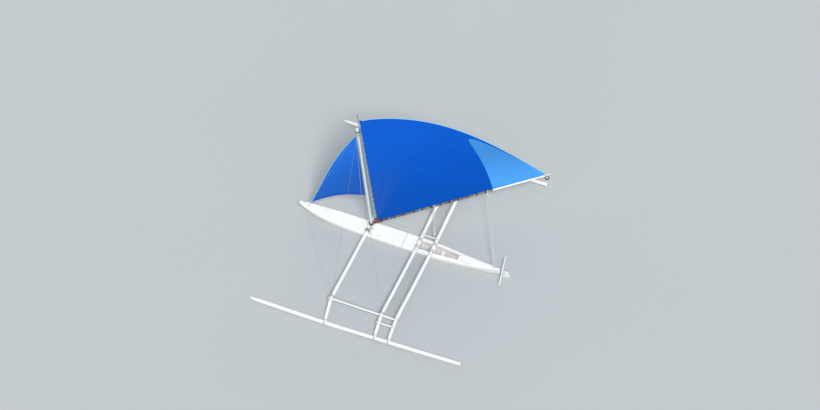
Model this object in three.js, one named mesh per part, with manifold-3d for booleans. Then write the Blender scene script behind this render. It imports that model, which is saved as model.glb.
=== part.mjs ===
// A double-outrigger sailing canoe: a slim decked hull, three crossbeams, two floats,
// a jib and a big triangular mainsail on boom and yard.
// Millimetres. +X forward, +Y port, +Z up. The origin is amidships on the waterline.
import * as THREE from "three";
import { mergeVertices } from "three/addons/utils/BufferGeometryUtils.js";
import Module from "manifold-3d";

const wasm = await Module();
wasm.setup();

// Driving sizes
const GAP = 0.3;
const DECK = 380;
const HULL_STATIONS = [
  // x, half width at the deck, deck height, keel height
  [5000, 45, 740, 560],
  [4700, 105, 625, 300],
  [4300, 185, 545, 40],
  [3800, 255, 480, -110],
  [3000, 325, 415, -230],
  [2000, 355, DECK, -290],
  [500, 375, DECK, -310],
  [-900, 375, DECK, -310],
  [-2000, 340, DECK, -290],
  [-3100, 240, DECK, -240],
  [-4000, 140, 430, -120],
  [-4600, 75, 485, 30],
  [-4950, 40, 540, 160],
];
const SHEER_STRAKE = 90;
const BILGE_STEPS = 8;
const BOW_JOINT = 2000;

// Cockpits: front and aft end, half width at the front and at the aft end
const COCKPITS = [
  { name: "middle", x0: -1060, x1: -1540, w0: 230, w1: 225 },
  { name: "aft", x0: -1800, x1: -2920, w0: 225, w1: 140 },
];
const COCKPIT_FLOOR = -90;
const COCKPIT_TOP = DECK + 60;
const COCKPIT_INSET = 78;
const COAMING_WIDTH = 24;
const COAMING_HEIGHT = 34;

const MAST = { x: 1356, radius: 65, foot: DECK + 25, top: 8450 };
const BAND = { low: 7960, high: 8050, radius: 80 };

// Crossbeams: name, place along the hull, and place of their legs' feet on the floats
const BEAMS = [
  { name: "fore", x: 1502, foot: 1445 },
  { name: "middle", x: -965, foot: -995 },
  { name: "aft", x: -1680, foot: -1670 },
];
const BEAM = { z: 485, rise: 195, elbow: 4170, flat: 420, radius: 80, tip: 76 };
const LEG = { radius: 74, foot: 64, inset: 45 };
// The floats stand a little wider apart at the bow: toe is the slope of their set.
const FLOAT = { y: 5138, toe: 0.0099, z: 80, radius: 85 };
const FLOAT_STATIONS = [
  // x, radius, height above the float's axis
  [5150, 12, 66],
  [5040, 46, 54],
  [4850, 72, 42],
  [4500, 83, 35],
  [3500, FLOAT.radius, 19],
  [2400, FLOAT.radius, 5],
  [1200, FLOAT.radius, 0],
  [600, FLOAT.radius, 17],
  [0, FLOAT.radius, 39],
  [-1000, FLOAT.radius, 82],
  [-2000, FLOAT.radius, 128],
  [-3000, FLOAT.radius, 177],
  [-4000, FLOAT.radius, 229],
  [-4900, 80, 277],
  [-5190, 74, 293],
];
const BRACE_RADIUS = 40;
const RUNG_RADIUS = 32;
const POLE_PAST = 95;
const POLE_SEAT = 0.7;
const NET = { inner: 520, outer: 3980, thickness: 8 };

// Sail plan in the plane of boom and mast: r is the distance aft of the mast's axis
const SAIL_ANGLE = 33.4;
const BOOM = { r0: 111.4, z0: 906.9, r1: 8335, z1: 2181.8, radius: 56, tip: 54 };
const YARD = { r0: 215, r1: 96, z1: 9465, radius: 46, tip: 26 };
const JAW = { inner: 76, outer: 112, low: 871, high: 957 };
const PARREL = { low: 8190, high: 8250, inner: 72, outer: 84 };
const MAIN = {
  tack: [285, 990.9],
  clew: [8285, 2229.6],
  throat: [152, 9010],
  peak: [268, 8945],
  roach: 350,
  twist: 720,
  camber: 0.085,
  thickness: 5,
};

const STAY = { foot: [4545, 0, 604], head: [1440.2, 0, 8005], radius: 5 };
const JIB = {
  low: 0.04,
  high: 0.968,
  clew: [1590, -450, 2420],
  camber: 0.1,
  luffRound: 165,
  footRound: 90,
  beside: 7.6,
  thickness: 5,
};
const WIRE_RADIUS = 4;
const LINE_RADIUS = 6;
const SHROUD_END = 4080;
const BOW_PIECE = { x: 4580, half: 170, radius: 25 };

const RUDDER = { x: -5030, angle: 11.5, top: 440, foot: -560, chord: 330, thickness: 34 };
const YOKE = { length: 1560, radius: 30 };
const GUDGEONS = [
  { name: "upper", z: 345 },
  { name: "lower", z: 200 },
];
const GUDGEON_PLATE = 12;

// Materials: one function per colour, so that each mesh owns its material
function material(color, roughness, metalness = 0) {
  return new THREE.MeshStandardMaterial({ color, roughness, metalness });
}
const whitePaint = () => material(0xf1f0ea, 0.45);
const innerPaint = () => material(0xd9b9ad, 0.7);
const bamboo = () => material(0x8c9a86, 0.6);
const boomWood = () => material(0x8a5f42, 0.65);
const mainCloth = () => material(0x1763cf, 0.6);
const jibCloth = () => material(0x3c72de, 0.6);
const rope = () => material(0xdcd8c8, 0.85);
const darkRope = () => material(0x2c2926, 0.9);
const wire = () => material(0xb9bcbd, 0.35, 1);
const netCord = () => material(0xd7ded6, 0.85);
const metal = () => material(0xa9abab, 0.4, 1);

const root = new THREE.Group();

function add(name, geometry, paint, parent = root) {
  const mesh = new THREE.Mesh(geometry, paint);
  mesh.name = name;
  parent.add(mesh);
  return mesh;
}

function toSolid(geometry) {
  const bare = geometry.clone();
  bare.deleteAttribute("normal");
  bare.deleteAttribute("uv");
  const merged = mergeVertices(bare, 1e-3);
  return new wasm.Manifold(
    new wasm.Mesh({
      numProp: 3,
      vertProperties: merged.attributes.position.array,
      triVerts: new Uint32Array(merged.index.array),
    }),
  );
}

function toGeometry(solid) {
  const mesh = solid.getMesh();
  const geometry = new THREE.BufferGeometry();
  geometry.setAttribute("position", new THREE.BufferAttribute(mesh.vertProperties, 3));
  geometry.setIndex(new THREE.BufferAttribute(mesh.triVerts, 1));
  geometry.computeVertexNormals();
  return geometry;
}

// Turns every face outward when a closed skin encloses a negative volume.
function outward(points, faces) {
  const corner = (i) => new THREE.Vector3(...points[faces[i]]);
  let volume = 0;
  for (let i = 0; i < faces.length; i += 3) {
    volume += corner(i).dot(corner(i + 1).cross(corner(i + 2)));
  }
  const index = volume < 0 ? faces.slice().reverse() : faces;
  const geometry = new THREE.BufferGeometry();
  geometry.setAttribute("position", new THREE.Float32BufferAttribute(points.flat(), 3));
  geometry.setIndex(index);
  geometry.computeVertexNormals();
  return geometry;
}

// A closed skin through rings of points that all turn the same way, with flat ends.
function loft(rings) {
  const count = rings[0].length;
  const points = rings.flat();
  const faces = [];
  for (let i = 0; i + 1 < rings.length; i++) {
    for (let j = 0; j < count; j++) {
      const a = i * count + j;
      const b = i * count + ((j + 1) % count);
      faces.push(a, b, b + count, a, b + count, a + count);
    }
  }
  const last = (rings.length - 1) * count;
  for (let j = 1; j + 1 < count; j++) {
    faces.push(0, j + 1, j, last, last + j, last + j + 1);
  }
  return outward(points, faces);
}

// A ring of points about a centre, in the plane of two unit directions.
function ring(center, u, v, radius, sides) {
  return Array.from({ length: sides }, (_, i) => {
    const a = (2 * Math.PI * i) / sides;
    return center.map((c, k) => c + radius * (Math.cos(a) * u[k] + Math.sin(a) * v[k]));
  });
}

// A straight round pole between two points, with a radius at each end.
function pole(a, b, radius, tip = radius, sides = 16) {
  const from = new THREE.Vector3(...a);
  const to = new THREE.Vector3(...b);
  const length = from.distanceTo(to);
  const geometry = new THREE.CylinderGeometry(tip, radius, length, sides);
  const turn = new THREE.Quaternion().setFromUnitVectors(
    new THREE.Vector3(0, 1, 0),
    to.clone().sub(from).normalize(),
  );
  geometry.applyQuaternion(turn);
  geometry.translate(...from.add(to).multiplyScalar(0.5).toArray());
  return geometry;
}

function box(low, high) {
  const size = high.map((h, i) => h - low[i]);
  const geometry = new THREE.BoxGeometry(...size);
  geometry.translate(...low.map((l, i) => l + size[i] / 2));
  return geometry;
}

// A thin closed solid about a surface given as a function of u and v, both from 0 to 1.
function cloth(surface, across, up, thickness) {
  const step = 1e-3;
  const side = (sign) => {
    const points = [];
    for (let j = 0; j <= up; j++) {
      for (let i = 0; i <= across; i++) {
        const u = i / across;
        const v = j / up;
        const at = surface(u, v);
        const du = surface(u + step, v).sub(surface(u - step, v));
        const dv = surface(u, v + step).sub(surface(u, v - step));
        points.push(at.addScaledVector(du.cross(dv).normalize(), (sign * thickness) / 2));
      }
    }
    return points;
  };
  const points = [...side(1), ...side(-1)];
  const row = across + 1;
  const back = row * (up + 1);
  const faces = [];
  const quad = (a, b, c, d) => faces.push(a, b, c, a, c, d);
  for (let j = 0; j < up; j++) {
    for (let i = 0; i < across; i++) {
      const a = j * row + i;
      quad(a, a + 1, a + row + 1, a + row);
      quad(back + a, back + a + row, back + a + row + 1, back + a + 1);
    }
  }
  const edge = (a, b) => quad(b, a, back + a, back + b);
  for (let i = 0; i < across; i++) {
    edge(i, i + 1);
    edge(up * row + i + 1, up * row + i);
  }
  for (let j = 0; j < up; j++) {
    edge((j + 1) * row, j * row);
    edge(j * row + across, (j + 1) * row + across);
  }
  return outward(points.map((p) => p.toArray()), faces);
}

const lerp = (a, b, t) => a + (b - a) * t;

// Hull: an upright strake under the deck edge, then a quarter ellipse down to the keel.
function hullRing([x, half, deck, keel]) {
  const strake = Math.min(SHEER_STRAKE, (deck - keel) / 3);
  const port = [[x, half, deck]];
  for (let i = 0; i <= BILGE_STEPS; i++) {
    const a = (Math.PI / 2) * (i / BILGE_STEPS);
    const y = i === BILGE_STEPS ? 0 : half * Math.cos(a) ** 0.85;
    port.push([x, y, deck - strake - (deck - strake - keel) * Math.sin(a)]);
  }
  const starboard = port.slice(0, -1).reverse().map(([px, y, z]) => [px, -y, z]);
  return [...port, ...starboard];
}

// The outline of a cockpit, grown by a margin.
function cockpitOutline({ x0, x1, w0, w1 }, grow = 0) {
  return [
    [x0 + grow, w0 + grow],
    [x1 - grow, w1 + grow],
    [x1 - grow, -w1 - grow],
    [x0 + grow, -w0 - grow],
  ];
}

// The part of a solid between two corners, held back by half a gap on every side.
function cutOut(solid, low, high) {
  const half = GAP / 2;
  return solid.intersect(toSolid(box(low.map((v) => v + half), high.map((v) => v - half))));
}

// The hull is built in sections that meet face to face. Each cockpit has a floor section
// and two side sections, and the solid sections between them close its ends.
function buildHull() {
  const hull = toSolid(loft(HULL_STATIONS.map(hullRing)));
  const [middle, aft] = COCKPITS;
  const wide = 600;
  const low = -500;
  const high = 900;
  const section = (name, solid, from, to) => {
    add("hull_" + name, toGeometry(cutOut(solid, from, to)), whitePaint());
  };
  section("bow", hull, [BOW_JOINT, -wide, low], [5100, wide, high]);
  section("fore", hull, [middle.x0, -wide, low], [BOW_JOINT, wide, high]);
  section("bridge", hull, [aft.x0, -wide, low], [middle.x1, wide, high]);
  section("stern", hull, [-5100, -wide, low], [aft.x1, wide, high]);
  for (const cockpit of COCKPITS) {
    const { name, x0, x1 } = cockpit;
    const top = cockpitOutline(cockpit);
    const well = loft([
      top.map(([x, y]) => [x, y - COCKPIT_INSET * Math.sign(y), COCKPIT_FLOOR]),
      top.map(([x, y]) => [x, y, COCKPIT_TOP]),
    ]);
    const shell = hull.subtract(toSolid(well));
    section(name + "_floor", shell, [x1, -wide, low], [x0, wide, COCKPIT_FLOOR]);
    section(name + "_side_port", shell, [x1, 0, COCKPIT_FLOOR], [x0, wide, high]);
    section(name + "_side_starboard", shell, [x1, -wide, COCKPIT_FLOOR], [x0, 0, high]);
  }
}

function buildCoamings() {
  for (const cockpit of COCKPITS) {
    const outline = (grow) => cockpitOutline(cockpit, grow).map((p) => new THREE.Vector2(...p));
    const shape = new THREE.Shape(outline(COAMING_WIDTH));
    shape.holes.push(new THREE.Path(outline(0).reverse()));
    const geometry = new THREE.ExtrudeGeometry(shape, {
      depth: COAMING_HEIGHT,
      bevelEnabled: false,
    });
    geometry.translate(0, 0, DECK + GAP);
    add("coaming_" + cockpit.name, geometry, whitePaint());
  }
}

// Height of the deck at a place along the hull
function deckHeight(x) {
  const i = HULL_STATIONS.findIndex((station) => station[0] < x);
  const [x0, , z0] = HULL_STATIONS[i - 1];
  const [x1, , z1] = HULL_STATIONS[i];
  return lerp(z0, z1, (x - x0) / (x1 - x0));
}

// Rub rails along both deck edges, following the same stations as the hull.
function buildRubRails() {
  const size = { out: 34, low: 62, high: 12 };
  const stations = HULL_STATIONS.slice(1, -1);
  for (const [name, side] of [["port", 1], ["starboard", -1]]) {
    const rings = stations.map(([x, half, deck]) => {
      const inner = half + GAP + 0.3;
      return [
        [x, side * inner, deck - size.high],
        [x, side * inner, deck - size.low],
        [x, side * (inner + size.out), deck - size.low + 6],
        [x, side * (inner + size.out), deck - size.high - 6],
      ];
    });
    add("rub_rail_" + name, loft(rings), whitePaint());
  }
}

// The helmsman's seat board rests across the tapered walls of the aft cockpit.
function buildSeat() {
  const seat = { x: -2120, z: 120, half: 100, thickness: 22 };
  const cockpit = COCKPITS[1];
  const depth = (seat.z - COCKPIT_FLOOR) / (COCKPIT_TOP - COCKPIT_FLOOR);
  const wall = (at) => {
    const half = lerp(cockpit.w0, cockpit.w1, (cockpit.x0 - at) / (cockpit.x0 - cockpit.x1));
    return half - COCKPIT_INSET * (1 - depth) - 0.4;
  };
  const [front, back] = [seat.x + seat.half, seat.x - seat.half];
  const outline = [
    [front, wall(front)],
    [back, wall(back)],
    [back, -wall(back)],
    [front, -wall(front)],
  ];
  const board = loft([
    outline.map(([x, y]) => [x, y, seat.z]),
    outline.map(([x, y]) => [x, y, seat.z + seat.thickness]),
  ]);
  add("seat", board, innerPaint());
}

// Height of a crossbeam's axis: level over the hull, then a gentle rise to the elbow.
function beamHeight(y) {
  const t = Math.max(0, (Math.abs(y) - BEAM.flat) / (BEAM.elbow - BEAM.flat));
  return BEAM.z + BEAM.rise * t ** 1.4;
}

// The float's rise above its lowest part, between the two stations beside x.
function floatLift(x) {
  const after = FLOAT_STATIONS.findIndex((station) => station[0] < x);
  const [a, b] = [FLOAT_STATIONS[after - 1], FLOAT_STATIONS[after]];
  return lerp(a[2], b[2], (a[0] - x) / (a[0] - b[0]));
}

const floatY = (x) => FLOAT.y + FLOAT.toe * x;

// A port leg's ends, its slope, and the tilt of the elbow's cut, which lies half way
// between the beam's direction and the leg's. The leg stands on the float where the
// float is highest under its foot.
function legLine({ x, foot }) {
  const top = beamHeight(BEAM.elbow);
  const y = floatY(foot) - LEG.inset;
  const lift = Math.max(floatLift(foot - LEG.foot), floatLift(foot + LEG.foot));
  const z = FLOAT.z + lift + FLOAT.radius + GAP;
  const slope = Math.atan2(z - top, y - BEAM.elbow);
  return { x, foot, top, y, z, slope, cut: (slope + Math.atan2(0.075, 1)) / 2 };
}

const cutPlane = (side, tilt) => [0, -side * Math.sin(tilt), Math.cos(tilt)];
const FORWARD = [1, 0, 0];

function buildBeams() {
  const arm = [0, 0.25, 0.5, 0.75].map((t) => lerp(BEAM.flat, BEAM.elbow, t));
  for (const beam of BEAMS) {
    const { name, x } = beam;
    const line = legLine(beam);
    const rings = [];
    for (const y of [...arm.map((v) => -v).reverse(), ...arm]) {
      const t = Math.max(0, (Math.abs(y) - BEAM.flat) / (BEAM.elbow - BEAM.flat));
      const radius = lerp(BEAM.radius, BEAM.tip, t);
      rings.push(ring([x, y, beamHeight(y)], [0, 0, 1], FORWARD, radius, 16));
    }
    const end = (side) =>
      ring([x, side * BEAM.elbow, line.top], cutPlane(side, line.cut), FORWARD, BEAM.tip, 16);
    add("beam_" + name, loft([end(-1), ...rings, end(1)]), whitePaint());
    for (const [tag, side] of [["port", 1], ["starboard", -1]]) {
      add(`leg_${name}_${tag}`, leg(line, side), whitePaint());
    }
  }
}

// A leg from the elbow's cut down to a level cut that sits on the float.
function leg(line, side) {
  const start = ring(
    [line.x, side * (BEAM.elbow + GAP + 0.1), line.top],
    cutPlane(side, line.cut),
    FORWARD,
    LEG.radius,
    16,
  );
  const reach = LEG.foot / Math.abs(Math.sin(line.slope));
  const finish = start.map((_, i) => {
    const a = (2 * Math.PI * i) / 16;
    return [
      line.foot + LEG.foot * Math.sin(a),
      side * (line.y + reach * Math.cos(a)),
      line.z,
    ];
  });
  return loft([start, finish]);
}

// A point on top of a leg, a share of the way down, for a pole of a given radius.
function onLeg(line, share, radius) {
  const top = LEG.radius * Math.cos(line.slope - line.cut);
  const offset = lerp(top, LEG.foot, share) + radius + POLE_SEAT;
  return [
    lerp(line.x, line.foot, share),
    lerp(BEAM.elbow, line.y, share) - offset * Math.sin(line.slope),
    lerp(line.top, line.z, share) + offset * Math.cos(line.slope),
  ];
}

// A pole laid across two legs that runs on past the leg at each end.
function poleOnLegs(side, first, last, share, radius, past) {
  const a = onLeg(legLine(first), share, radius);
  const b = onLeg(legLine(last), share, radius);
  const at = (x) => {
    const t = (x - a[0]) / (b[0] - a[0]);
    return [x, side * lerp(a[1], b[1], t), lerp(a[2], b[2], t)];
  };
  return pole(at(a[0] + past), at(b[0] - past), radius);
}

function buildSides() {
  for (const [tag, side] of [["port", 1], ["starboard", -1]]) {
    const rings = FLOAT_STATIONS.map(([x, radius, lift]) => {
      const centre = [x, side * floatY(x), FLOAT.z + lift];
      return ring(centre, [0, 1, 0], [0, 0, -1], radius, 16);
    });
    add("float_" + tag, loft(rings), whitePaint());

    const [fore, middle, aft] = BEAMS;
    const brace = poleOnLegs(side, fore, aft, 0.03, BRACE_RADIUS, POLE_PAST);
    add("side_brace_" + tag, brace, whitePaint());

    const rung = poleOnLegs(side, middle, aft, 0.38, RUNG_RADIUS, POLE_PAST);
    add("leg_rung_" + tag, rung, whitePaint());

    const railZ = BEAM.z + BEAM.radius + 24 + GAP;
    const rail = pole([-880, side * 430, railZ], [-1765, side * 430, railZ], 24);
    add("net_rail_" + tag, rail, whitePaint());

    buildNet(tag, side);
  }
}

// The net is a thin plate that follows the beams' rise, stretched between their inner sides.
function buildNet(tag, side) {
  const x0 = BEAMS[1].x - BEAM.radius - GAP - 0.4;
  const x1 = BEAMS[2].x + BEAM.radius + GAP + 0.4;
  const rings = [0, 0.25, 0.5, 0.75, 1].map((t) => {
    const y = lerp(NET.inner, NET.outer, t);
    const z = beamHeight(y);
    return [
      [x0, side * y, z],
      [x1, side * y, z],
      [x1, side * y, z + NET.thickness],
      [x0, side * y, z + NET.thickness],
    ];
  });
  add("net_" + tag, loft(rings), netCord());
}

// Saddles: wooden blocks between deck and beams, hollowed to the beam's round.
function buildSaddles() {
  const size = { depth: 68, half: 290, top: BEAM.z - 55 };
  for (const { name, x } of BEAMS) {
    const block = box(
      [x - size.depth, -size.half, DECK + GAP],
      [x + size.depth, size.half, size.top],
    );
    const bed = BEAM.radius + 0.9;
    const groove = pole([x, -size.half - 50, BEAM.z], [x, size.half + 50, BEAM.z], bed, bed, 32);
    add("saddle_" + name, toGeometry(toSolid(block).subtract(toSolid(groove))), whitePaint());
  }
}

// A round collar about the vertical axis, with a flat side facing aft.
function collar(inner, outer, low, high, sides = 24) {
  const profile = [
    [inner, low],
    [outer, low],
    [outer, high],
    [inner, high],
    [inner, low],
  ].map((p) => new THREE.Vector2(...p));
  const geometry = new THREE.LatheGeometry(profile, sides);
  geometry.rotateX(Math.PI / 2);
  geometry.rotateZ(Math.PI / sides);
  return geometry;
}

function buildMast() {
  const { x, radius, foot, top } = MAST;
  const step = box([x - 108, -95, DECK + GAP], [x + 62, 95, foot - GAP]);
  add("mast_step", step, bamboo());
  add("mast", pole([x, 0, foot], [x, 0, top], radius, radius - 8, 24), whitePaint());
  const fit = radius + GAP + 0.6;
  add("boom_rest", collar(fit, 100, JAW.low - 66, JAW.low - GAP), darkRope()).position.x = x;
  const band = collar(radius - 6.4, BAND.radius, BAND.low, BAND.high);
  add("masthead_band", band, metal()).position.x = x;
}

// Sail body: the group turns about the mast's axis; inside it the boom lies along -X.
const sailGroup = new THREE.Group();
sailGroup.position.x = MAST.x;
sailGroup.rotation.z = THREE.MathUtils.degToRad(SAIL_ANGLE);
root.add(sailGroup);

const boomSlope = (BOOM.z1 - BOOM.z0) / (BOOM.r1 - BOOM.r0);
const boomHeight = (r) => BOOM.z0 + boomSlope * (r - BOOM.r0);

function buildSpars() {
  add("boom_jaw", collar(JAW.inner, JAW.outer, JAW.low, JAW.high), boomWood(), sailGroup);

  const y = [0, 1, 0];
  const up = [0, 0, 1];
  const boomEnd = (r, radius) => ring([-r, 0, boomHeight(r)], y, up, radius, 16);
  const boom = loft([boomEnd(BOOM.r1, BOOM.tip), boomEnd(BOOM.r0, BOOM.radius)]);
  add("boom", boom, boomWood(), sailGroup);

  const along = new THREE.Vector3(-1, 0, boomSlope).normalize().toArray();
  const foot = boomHeight(YARD.r0) + (BOOM.radius + GAP) * Math.hypot(1, boomSlope) - 0.6;
  const yard = loft([
    ring([-YARD.r0, 0, foot], along, y, YARD.radius, 16),
    ring([-YARD.r1, 0, YARD.z1], [-1, 0, 0], y, YARD.tip, 16),
  ]);
  add("yard", yard, bamboo(), sailGroup);

  const { inner, outer, low, high } = PARREL;
  add("parrel", collar(inner, outer, low, high), darkRope(), sailGroup);
}

// Mainsail: u runs from luff to leech, v from foot to head. The roach lies in the sail's
// plane, and twist and camber carry the cloth to leeward, which is -Y here.
function mainsail(u, v) {
  const line = (a, b, t) => [lerp(a[0], b[0], t), lerp(a[1], b[1], t)];
  const luff = line(MAIN.tack, MAIN.throat, v);
  const leech = line(MAIN.clew, MAIN.peak, v);
  const dr = MAIN.peak[0] - MAIN.clew[0];
  const dz = MAIN.peak[1] - MAIN.clew[1];
  const length = Math.hypot(dr, dz);
  const swell = Math.sin(Math.PI * Math.max(0, 1 - v) ** 0.85);
  const out = (MAIN.roach * swell * u) / length;
  const r = lerp(luff[0], leech[0], u) + dz * out;
  const z = lerp(luff[1], leech[1], u) - dr * out;
  const chord = leech[0] - luff[0];
  const belly = MAIN.camber * chord * (1 - (1 - v) ** 3) * Math.sin(Math.PI * Math.max(0, u) ** 0.8);
  const twist = MAIN.twist * swell * Math.max(0, u) ** 1.3;
  return new THREE.Vector3(-r, -(belly + twist), z);
}

function stayPoint(t) {
  return new THREE.Vector3(...STAY.foot).lerp(new THREE.Vector3(...STAY.head), t);
}

// Jib: its luff leaves from the lee side of the forestay and bows forward between tack
// and head, and its foot is loose, with its own round.
function jib(u, v) {
  const bow = Math.sin(Math.PI * Math.max(0, v) ** 1.3);
  const luff = stayPoint(lerp(JIB.low, JIB.high, v));
  luff.x += JIB.luffRound * bow;
  luff.y -= JIB.beside + 30 * bow;
  const head = stayPoint(JIB.high).add(new THREE.Vector3(-60, -14, -16));
  const leech = new THREE.Vector3(...JIB.clew).lerp(head, v);
  const chord = luff.distanceTo(leech);
  const at = luff.clone().lerp(leech, u);
  const camber = JIB.camber * chord * Math.sin(Math.PI * Math.max(0, u) ** 0.85);
  at.y -= camber;
  at.z -= JIB.footRound * Math.max(0, 1 - v) ** 4 * 4 * u * (1 - u);
  return at;
}

function buildSails() {
  add("mainsail", cloth(mainsail, 12, 12, MAIN.thickness), mainCloth(), sailGroup);
  add("jib", cloth(jib, 8, 10, JIB.thickness), jibCloth());
}

function buildRigging() {
  add("forestay", pole(STAY.foot, STAY.head, STAY.radius, STAY.radius, 8), wire());

  const piece = BOW_PIECE;
  const pieceZ = deckHeight(piece.x) + piece.radius * 1.02 + GAP;
  const cross = pole([piece.x, -piece.half, pieceZ], [piece.x, piece.half, pieceZ], piece.radius);
  add("bow_crosspiece", cross, whitePaint());

  const top = beamHeight(SHROUD_END) + BEAM.tip + WIRE_RADIUS + 1.2;
  const start = BAND.radius + 0.4;
  for (const [tag, side] of [["port", 1], ["starboard", -1]]) {
    for (const [name, beam, offset] of [["fore", BEAMS[0], 22], ["aft", BEAMS[1], -22]]) {
      const shroud = pole(
        [MAST.x + offset, side * start, BAND.low + 45],
        [beam.x, side * SHROUD_END, top],
        WIRE_RADIUS,
        WIRE_RADIUS,
        8,
      );
      add(`shroud_${name}_${tag}`, shroud, wire());
    }
    const guy = pole(
      [piece.x, side * (piece.half + LINE_RADIUS - 1.9), pieceZ],
      [BEAMS[0].x + 30, side * 4140, top + 3],
      LINE_RADIUS,
      LINE_RADIUS,
      8,
    );
    add("bow_guy_" + tag, guy, rope());
  }
}

function buildRudder() {
  const stern = HULL_STATIONS.at(-1)[0];
  for (const { name, z } of GUDGEONS) {
    const plate = box([RUDDER.x - 14, -20, z], [stern - GAP, 20, z + GUDGEON_PLATE]);
    add("gudgeon_" + name, plate, metal());
  }

  const rudder = new THREE.Group();
  rudder.position.x = RUDDER.x;
  rudder.rotation.z = THREE.MathUtils.degToRad(RUDDER.angle);
  root.add(rudder);

  const front = -38;
  const section = (z, back, thickness) => [
    [front, 0, z],
    [front - 45, thickness / 2, z],
    [back + 60, thickness / 3, z],
    [back, 0, z],
    [back + 60, -thickness / 3, z],
    [front - 45, -thickness / 2, z],
  ];
  const { foot, chord, thickness, top } = RUDDER;
  const blade = loft([
    section(foot, front - 0.62 * chord, 0.6 * thickness),
    section(-150, front - chord, thickness),
    section(top - 20, front - 0.9 * chord, thickness),
  ]);
  let solid = toSolid(blade);
  const lowerLug = GUDGEONS[1].z + GUDGEON_PLATE + GAP;
  const upperLug = GUDGEONS[0].z + GUDGEON_PLATE + GAP;
  solid = solid.add(toSolid(box([-90, -18, lowerLug], [14, 18, lowerLug + 44])));
  solid = solid.add(toSolid(box([-150, -24, upperLug], [18, 24, top])));
  add("rudder", toGeometry(solid), whitePaint(), rudder);

  const z = top + YOKE.radius + GAP;
  const half = YOKE.length / 2;
  add("rudder_yoke", pole([-40, -half, z], [-40, half, z], YOKE.radius), whitePaint(), rudder);
}

buildHull();
buildCoamings();
buildRubRails();
buildSeat();
buildSaddles();
buildBeams();
buildSides();
buildMast();
buildSpars();
buildSails();
buildRigging();
buildRudder();

export default root;
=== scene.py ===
"""The looks of a double-outrigger sailing canoe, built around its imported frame.

Metres. +X forward, +Y port, +Z up. The origin is amidships on the waterline.
"""

import math

import bmesh
import bpy
import numpy as np
from mathutils import Matrix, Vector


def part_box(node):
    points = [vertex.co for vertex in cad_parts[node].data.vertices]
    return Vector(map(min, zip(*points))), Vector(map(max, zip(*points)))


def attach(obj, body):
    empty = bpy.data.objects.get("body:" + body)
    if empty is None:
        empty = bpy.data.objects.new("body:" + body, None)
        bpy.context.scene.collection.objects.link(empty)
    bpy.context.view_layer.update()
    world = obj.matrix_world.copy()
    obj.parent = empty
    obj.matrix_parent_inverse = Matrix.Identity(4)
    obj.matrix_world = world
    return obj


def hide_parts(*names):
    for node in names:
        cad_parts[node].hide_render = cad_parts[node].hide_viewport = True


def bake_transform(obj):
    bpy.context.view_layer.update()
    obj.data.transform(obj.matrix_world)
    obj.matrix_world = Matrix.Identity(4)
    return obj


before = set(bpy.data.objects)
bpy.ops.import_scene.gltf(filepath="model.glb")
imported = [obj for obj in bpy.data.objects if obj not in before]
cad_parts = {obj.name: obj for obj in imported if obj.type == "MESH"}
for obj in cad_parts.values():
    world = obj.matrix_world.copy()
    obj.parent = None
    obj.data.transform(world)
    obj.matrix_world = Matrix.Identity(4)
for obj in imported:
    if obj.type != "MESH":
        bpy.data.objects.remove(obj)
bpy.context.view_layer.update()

bl_info = {
    "name": "Outrigger canoe",
    "version": (1, 0, 0),
    "blender": (4, 5, 0),
    "location": "3D View > Sidebar > Canoe",
    "description": "Builds the looks of a double-outrigger sailing canoe around its frame",
    "category": "Object",
}

AHEAD, PORT, UP = np.eye(3)
SIDES = (("port", 1), ("starboard", -1))

# The hull: x, half width at the deck, deck height, keel height
STATIONS = np.array([
    [5.0, 0.045, 0.740, 0.560],
    [4.7, 0.105, 0.625, 0.300],
    [4.3, 0.185, 0.545, 0.040],
    [3.8, 0.255, 0.480, -0.110],
    [3.0, 0.325, 0.415, -0.230],
    [2.0, 0.355, 0.380, -0.290],
    [0.5, 0.375, 0.380, -0.310],
    [-0.9, 0.375, 0.380, -0.310],
    [-2.0, 0.340, 0.380, -0.290],
    [-3.1, 0.240, 0.380, -0.240],
    [-4.0, 0.140, 0.430, -0.120],
    [-4.6, 0.075, 0.485, 0.030],
    [-4.95, 0.040, 0.540, 0.160],
])
DECK, SHEER_CORNER = 0.38, 0.012
HULL_BOW, HULL_STERN, BOW_ROUND, STERN_ROUND = 4.955, -4.92, 0.045, 0.030
# Two wells with a bridge between them: their ends along the hull, and half widths there
WELL_ENDS, WELL_WIDTHS = [-1.06, -1.54, -1.80, -2.92], [0.230, 0.225, 0.225, 0.140]
WELL_FLOOR, WELL_INSET, WELL_DEPTH = -0.09, 0.078, 0.53

# Crossbeams: place along the hull, and place of their legs' feet on the floats
BEAMS = {"fore": (1.502, 1.445), "middle": (-0.965, -0.995), "aft": (-1.680, -1.670)}
BEAM_Z, BEAM_RISE, BEAM_FLAT, ELBOW = 0.485, 0.195, 0.420, 4.170
BEAM_RADIUS, BEAM_TIP, BEAM_END_SLOPE = 0.080, 0.076, 0.075
LEG_TOP = BEAM_Z + BEAM_RISE
LEG_RADIUS, LEG_FOOT, LEG_INSET = 0.074, 0.064, 0.045
BRACE_RADIUS, RUNG_RADIUS, RAIL_RADIUS = 0.040, 0.032, 0.024
BRACE_SHARE, RUNG_SHARE, POLE_PAST, RAIL_Y = 0.03, 0.38, 0.095, 0.430
NET_FRONT, NET_BACK = BEAMS["middle"][0] - BEAM_RADIUS, BEAMS["aft"][0] + BEAM_RADIUS
NET_INNER, NET_OUTER, NET_INSET, LACING_TURNS = 0.52, 3.98, 0.03, 34

FLOAT_Y, FLOAT_TOE, FLOAT_Z, FLOAT_RADIUS = 5.138, 0.0099, 0.080, 0.085
FLOAT_BOW, FLOAT_LENGTH = 5.15, 10.34
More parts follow.
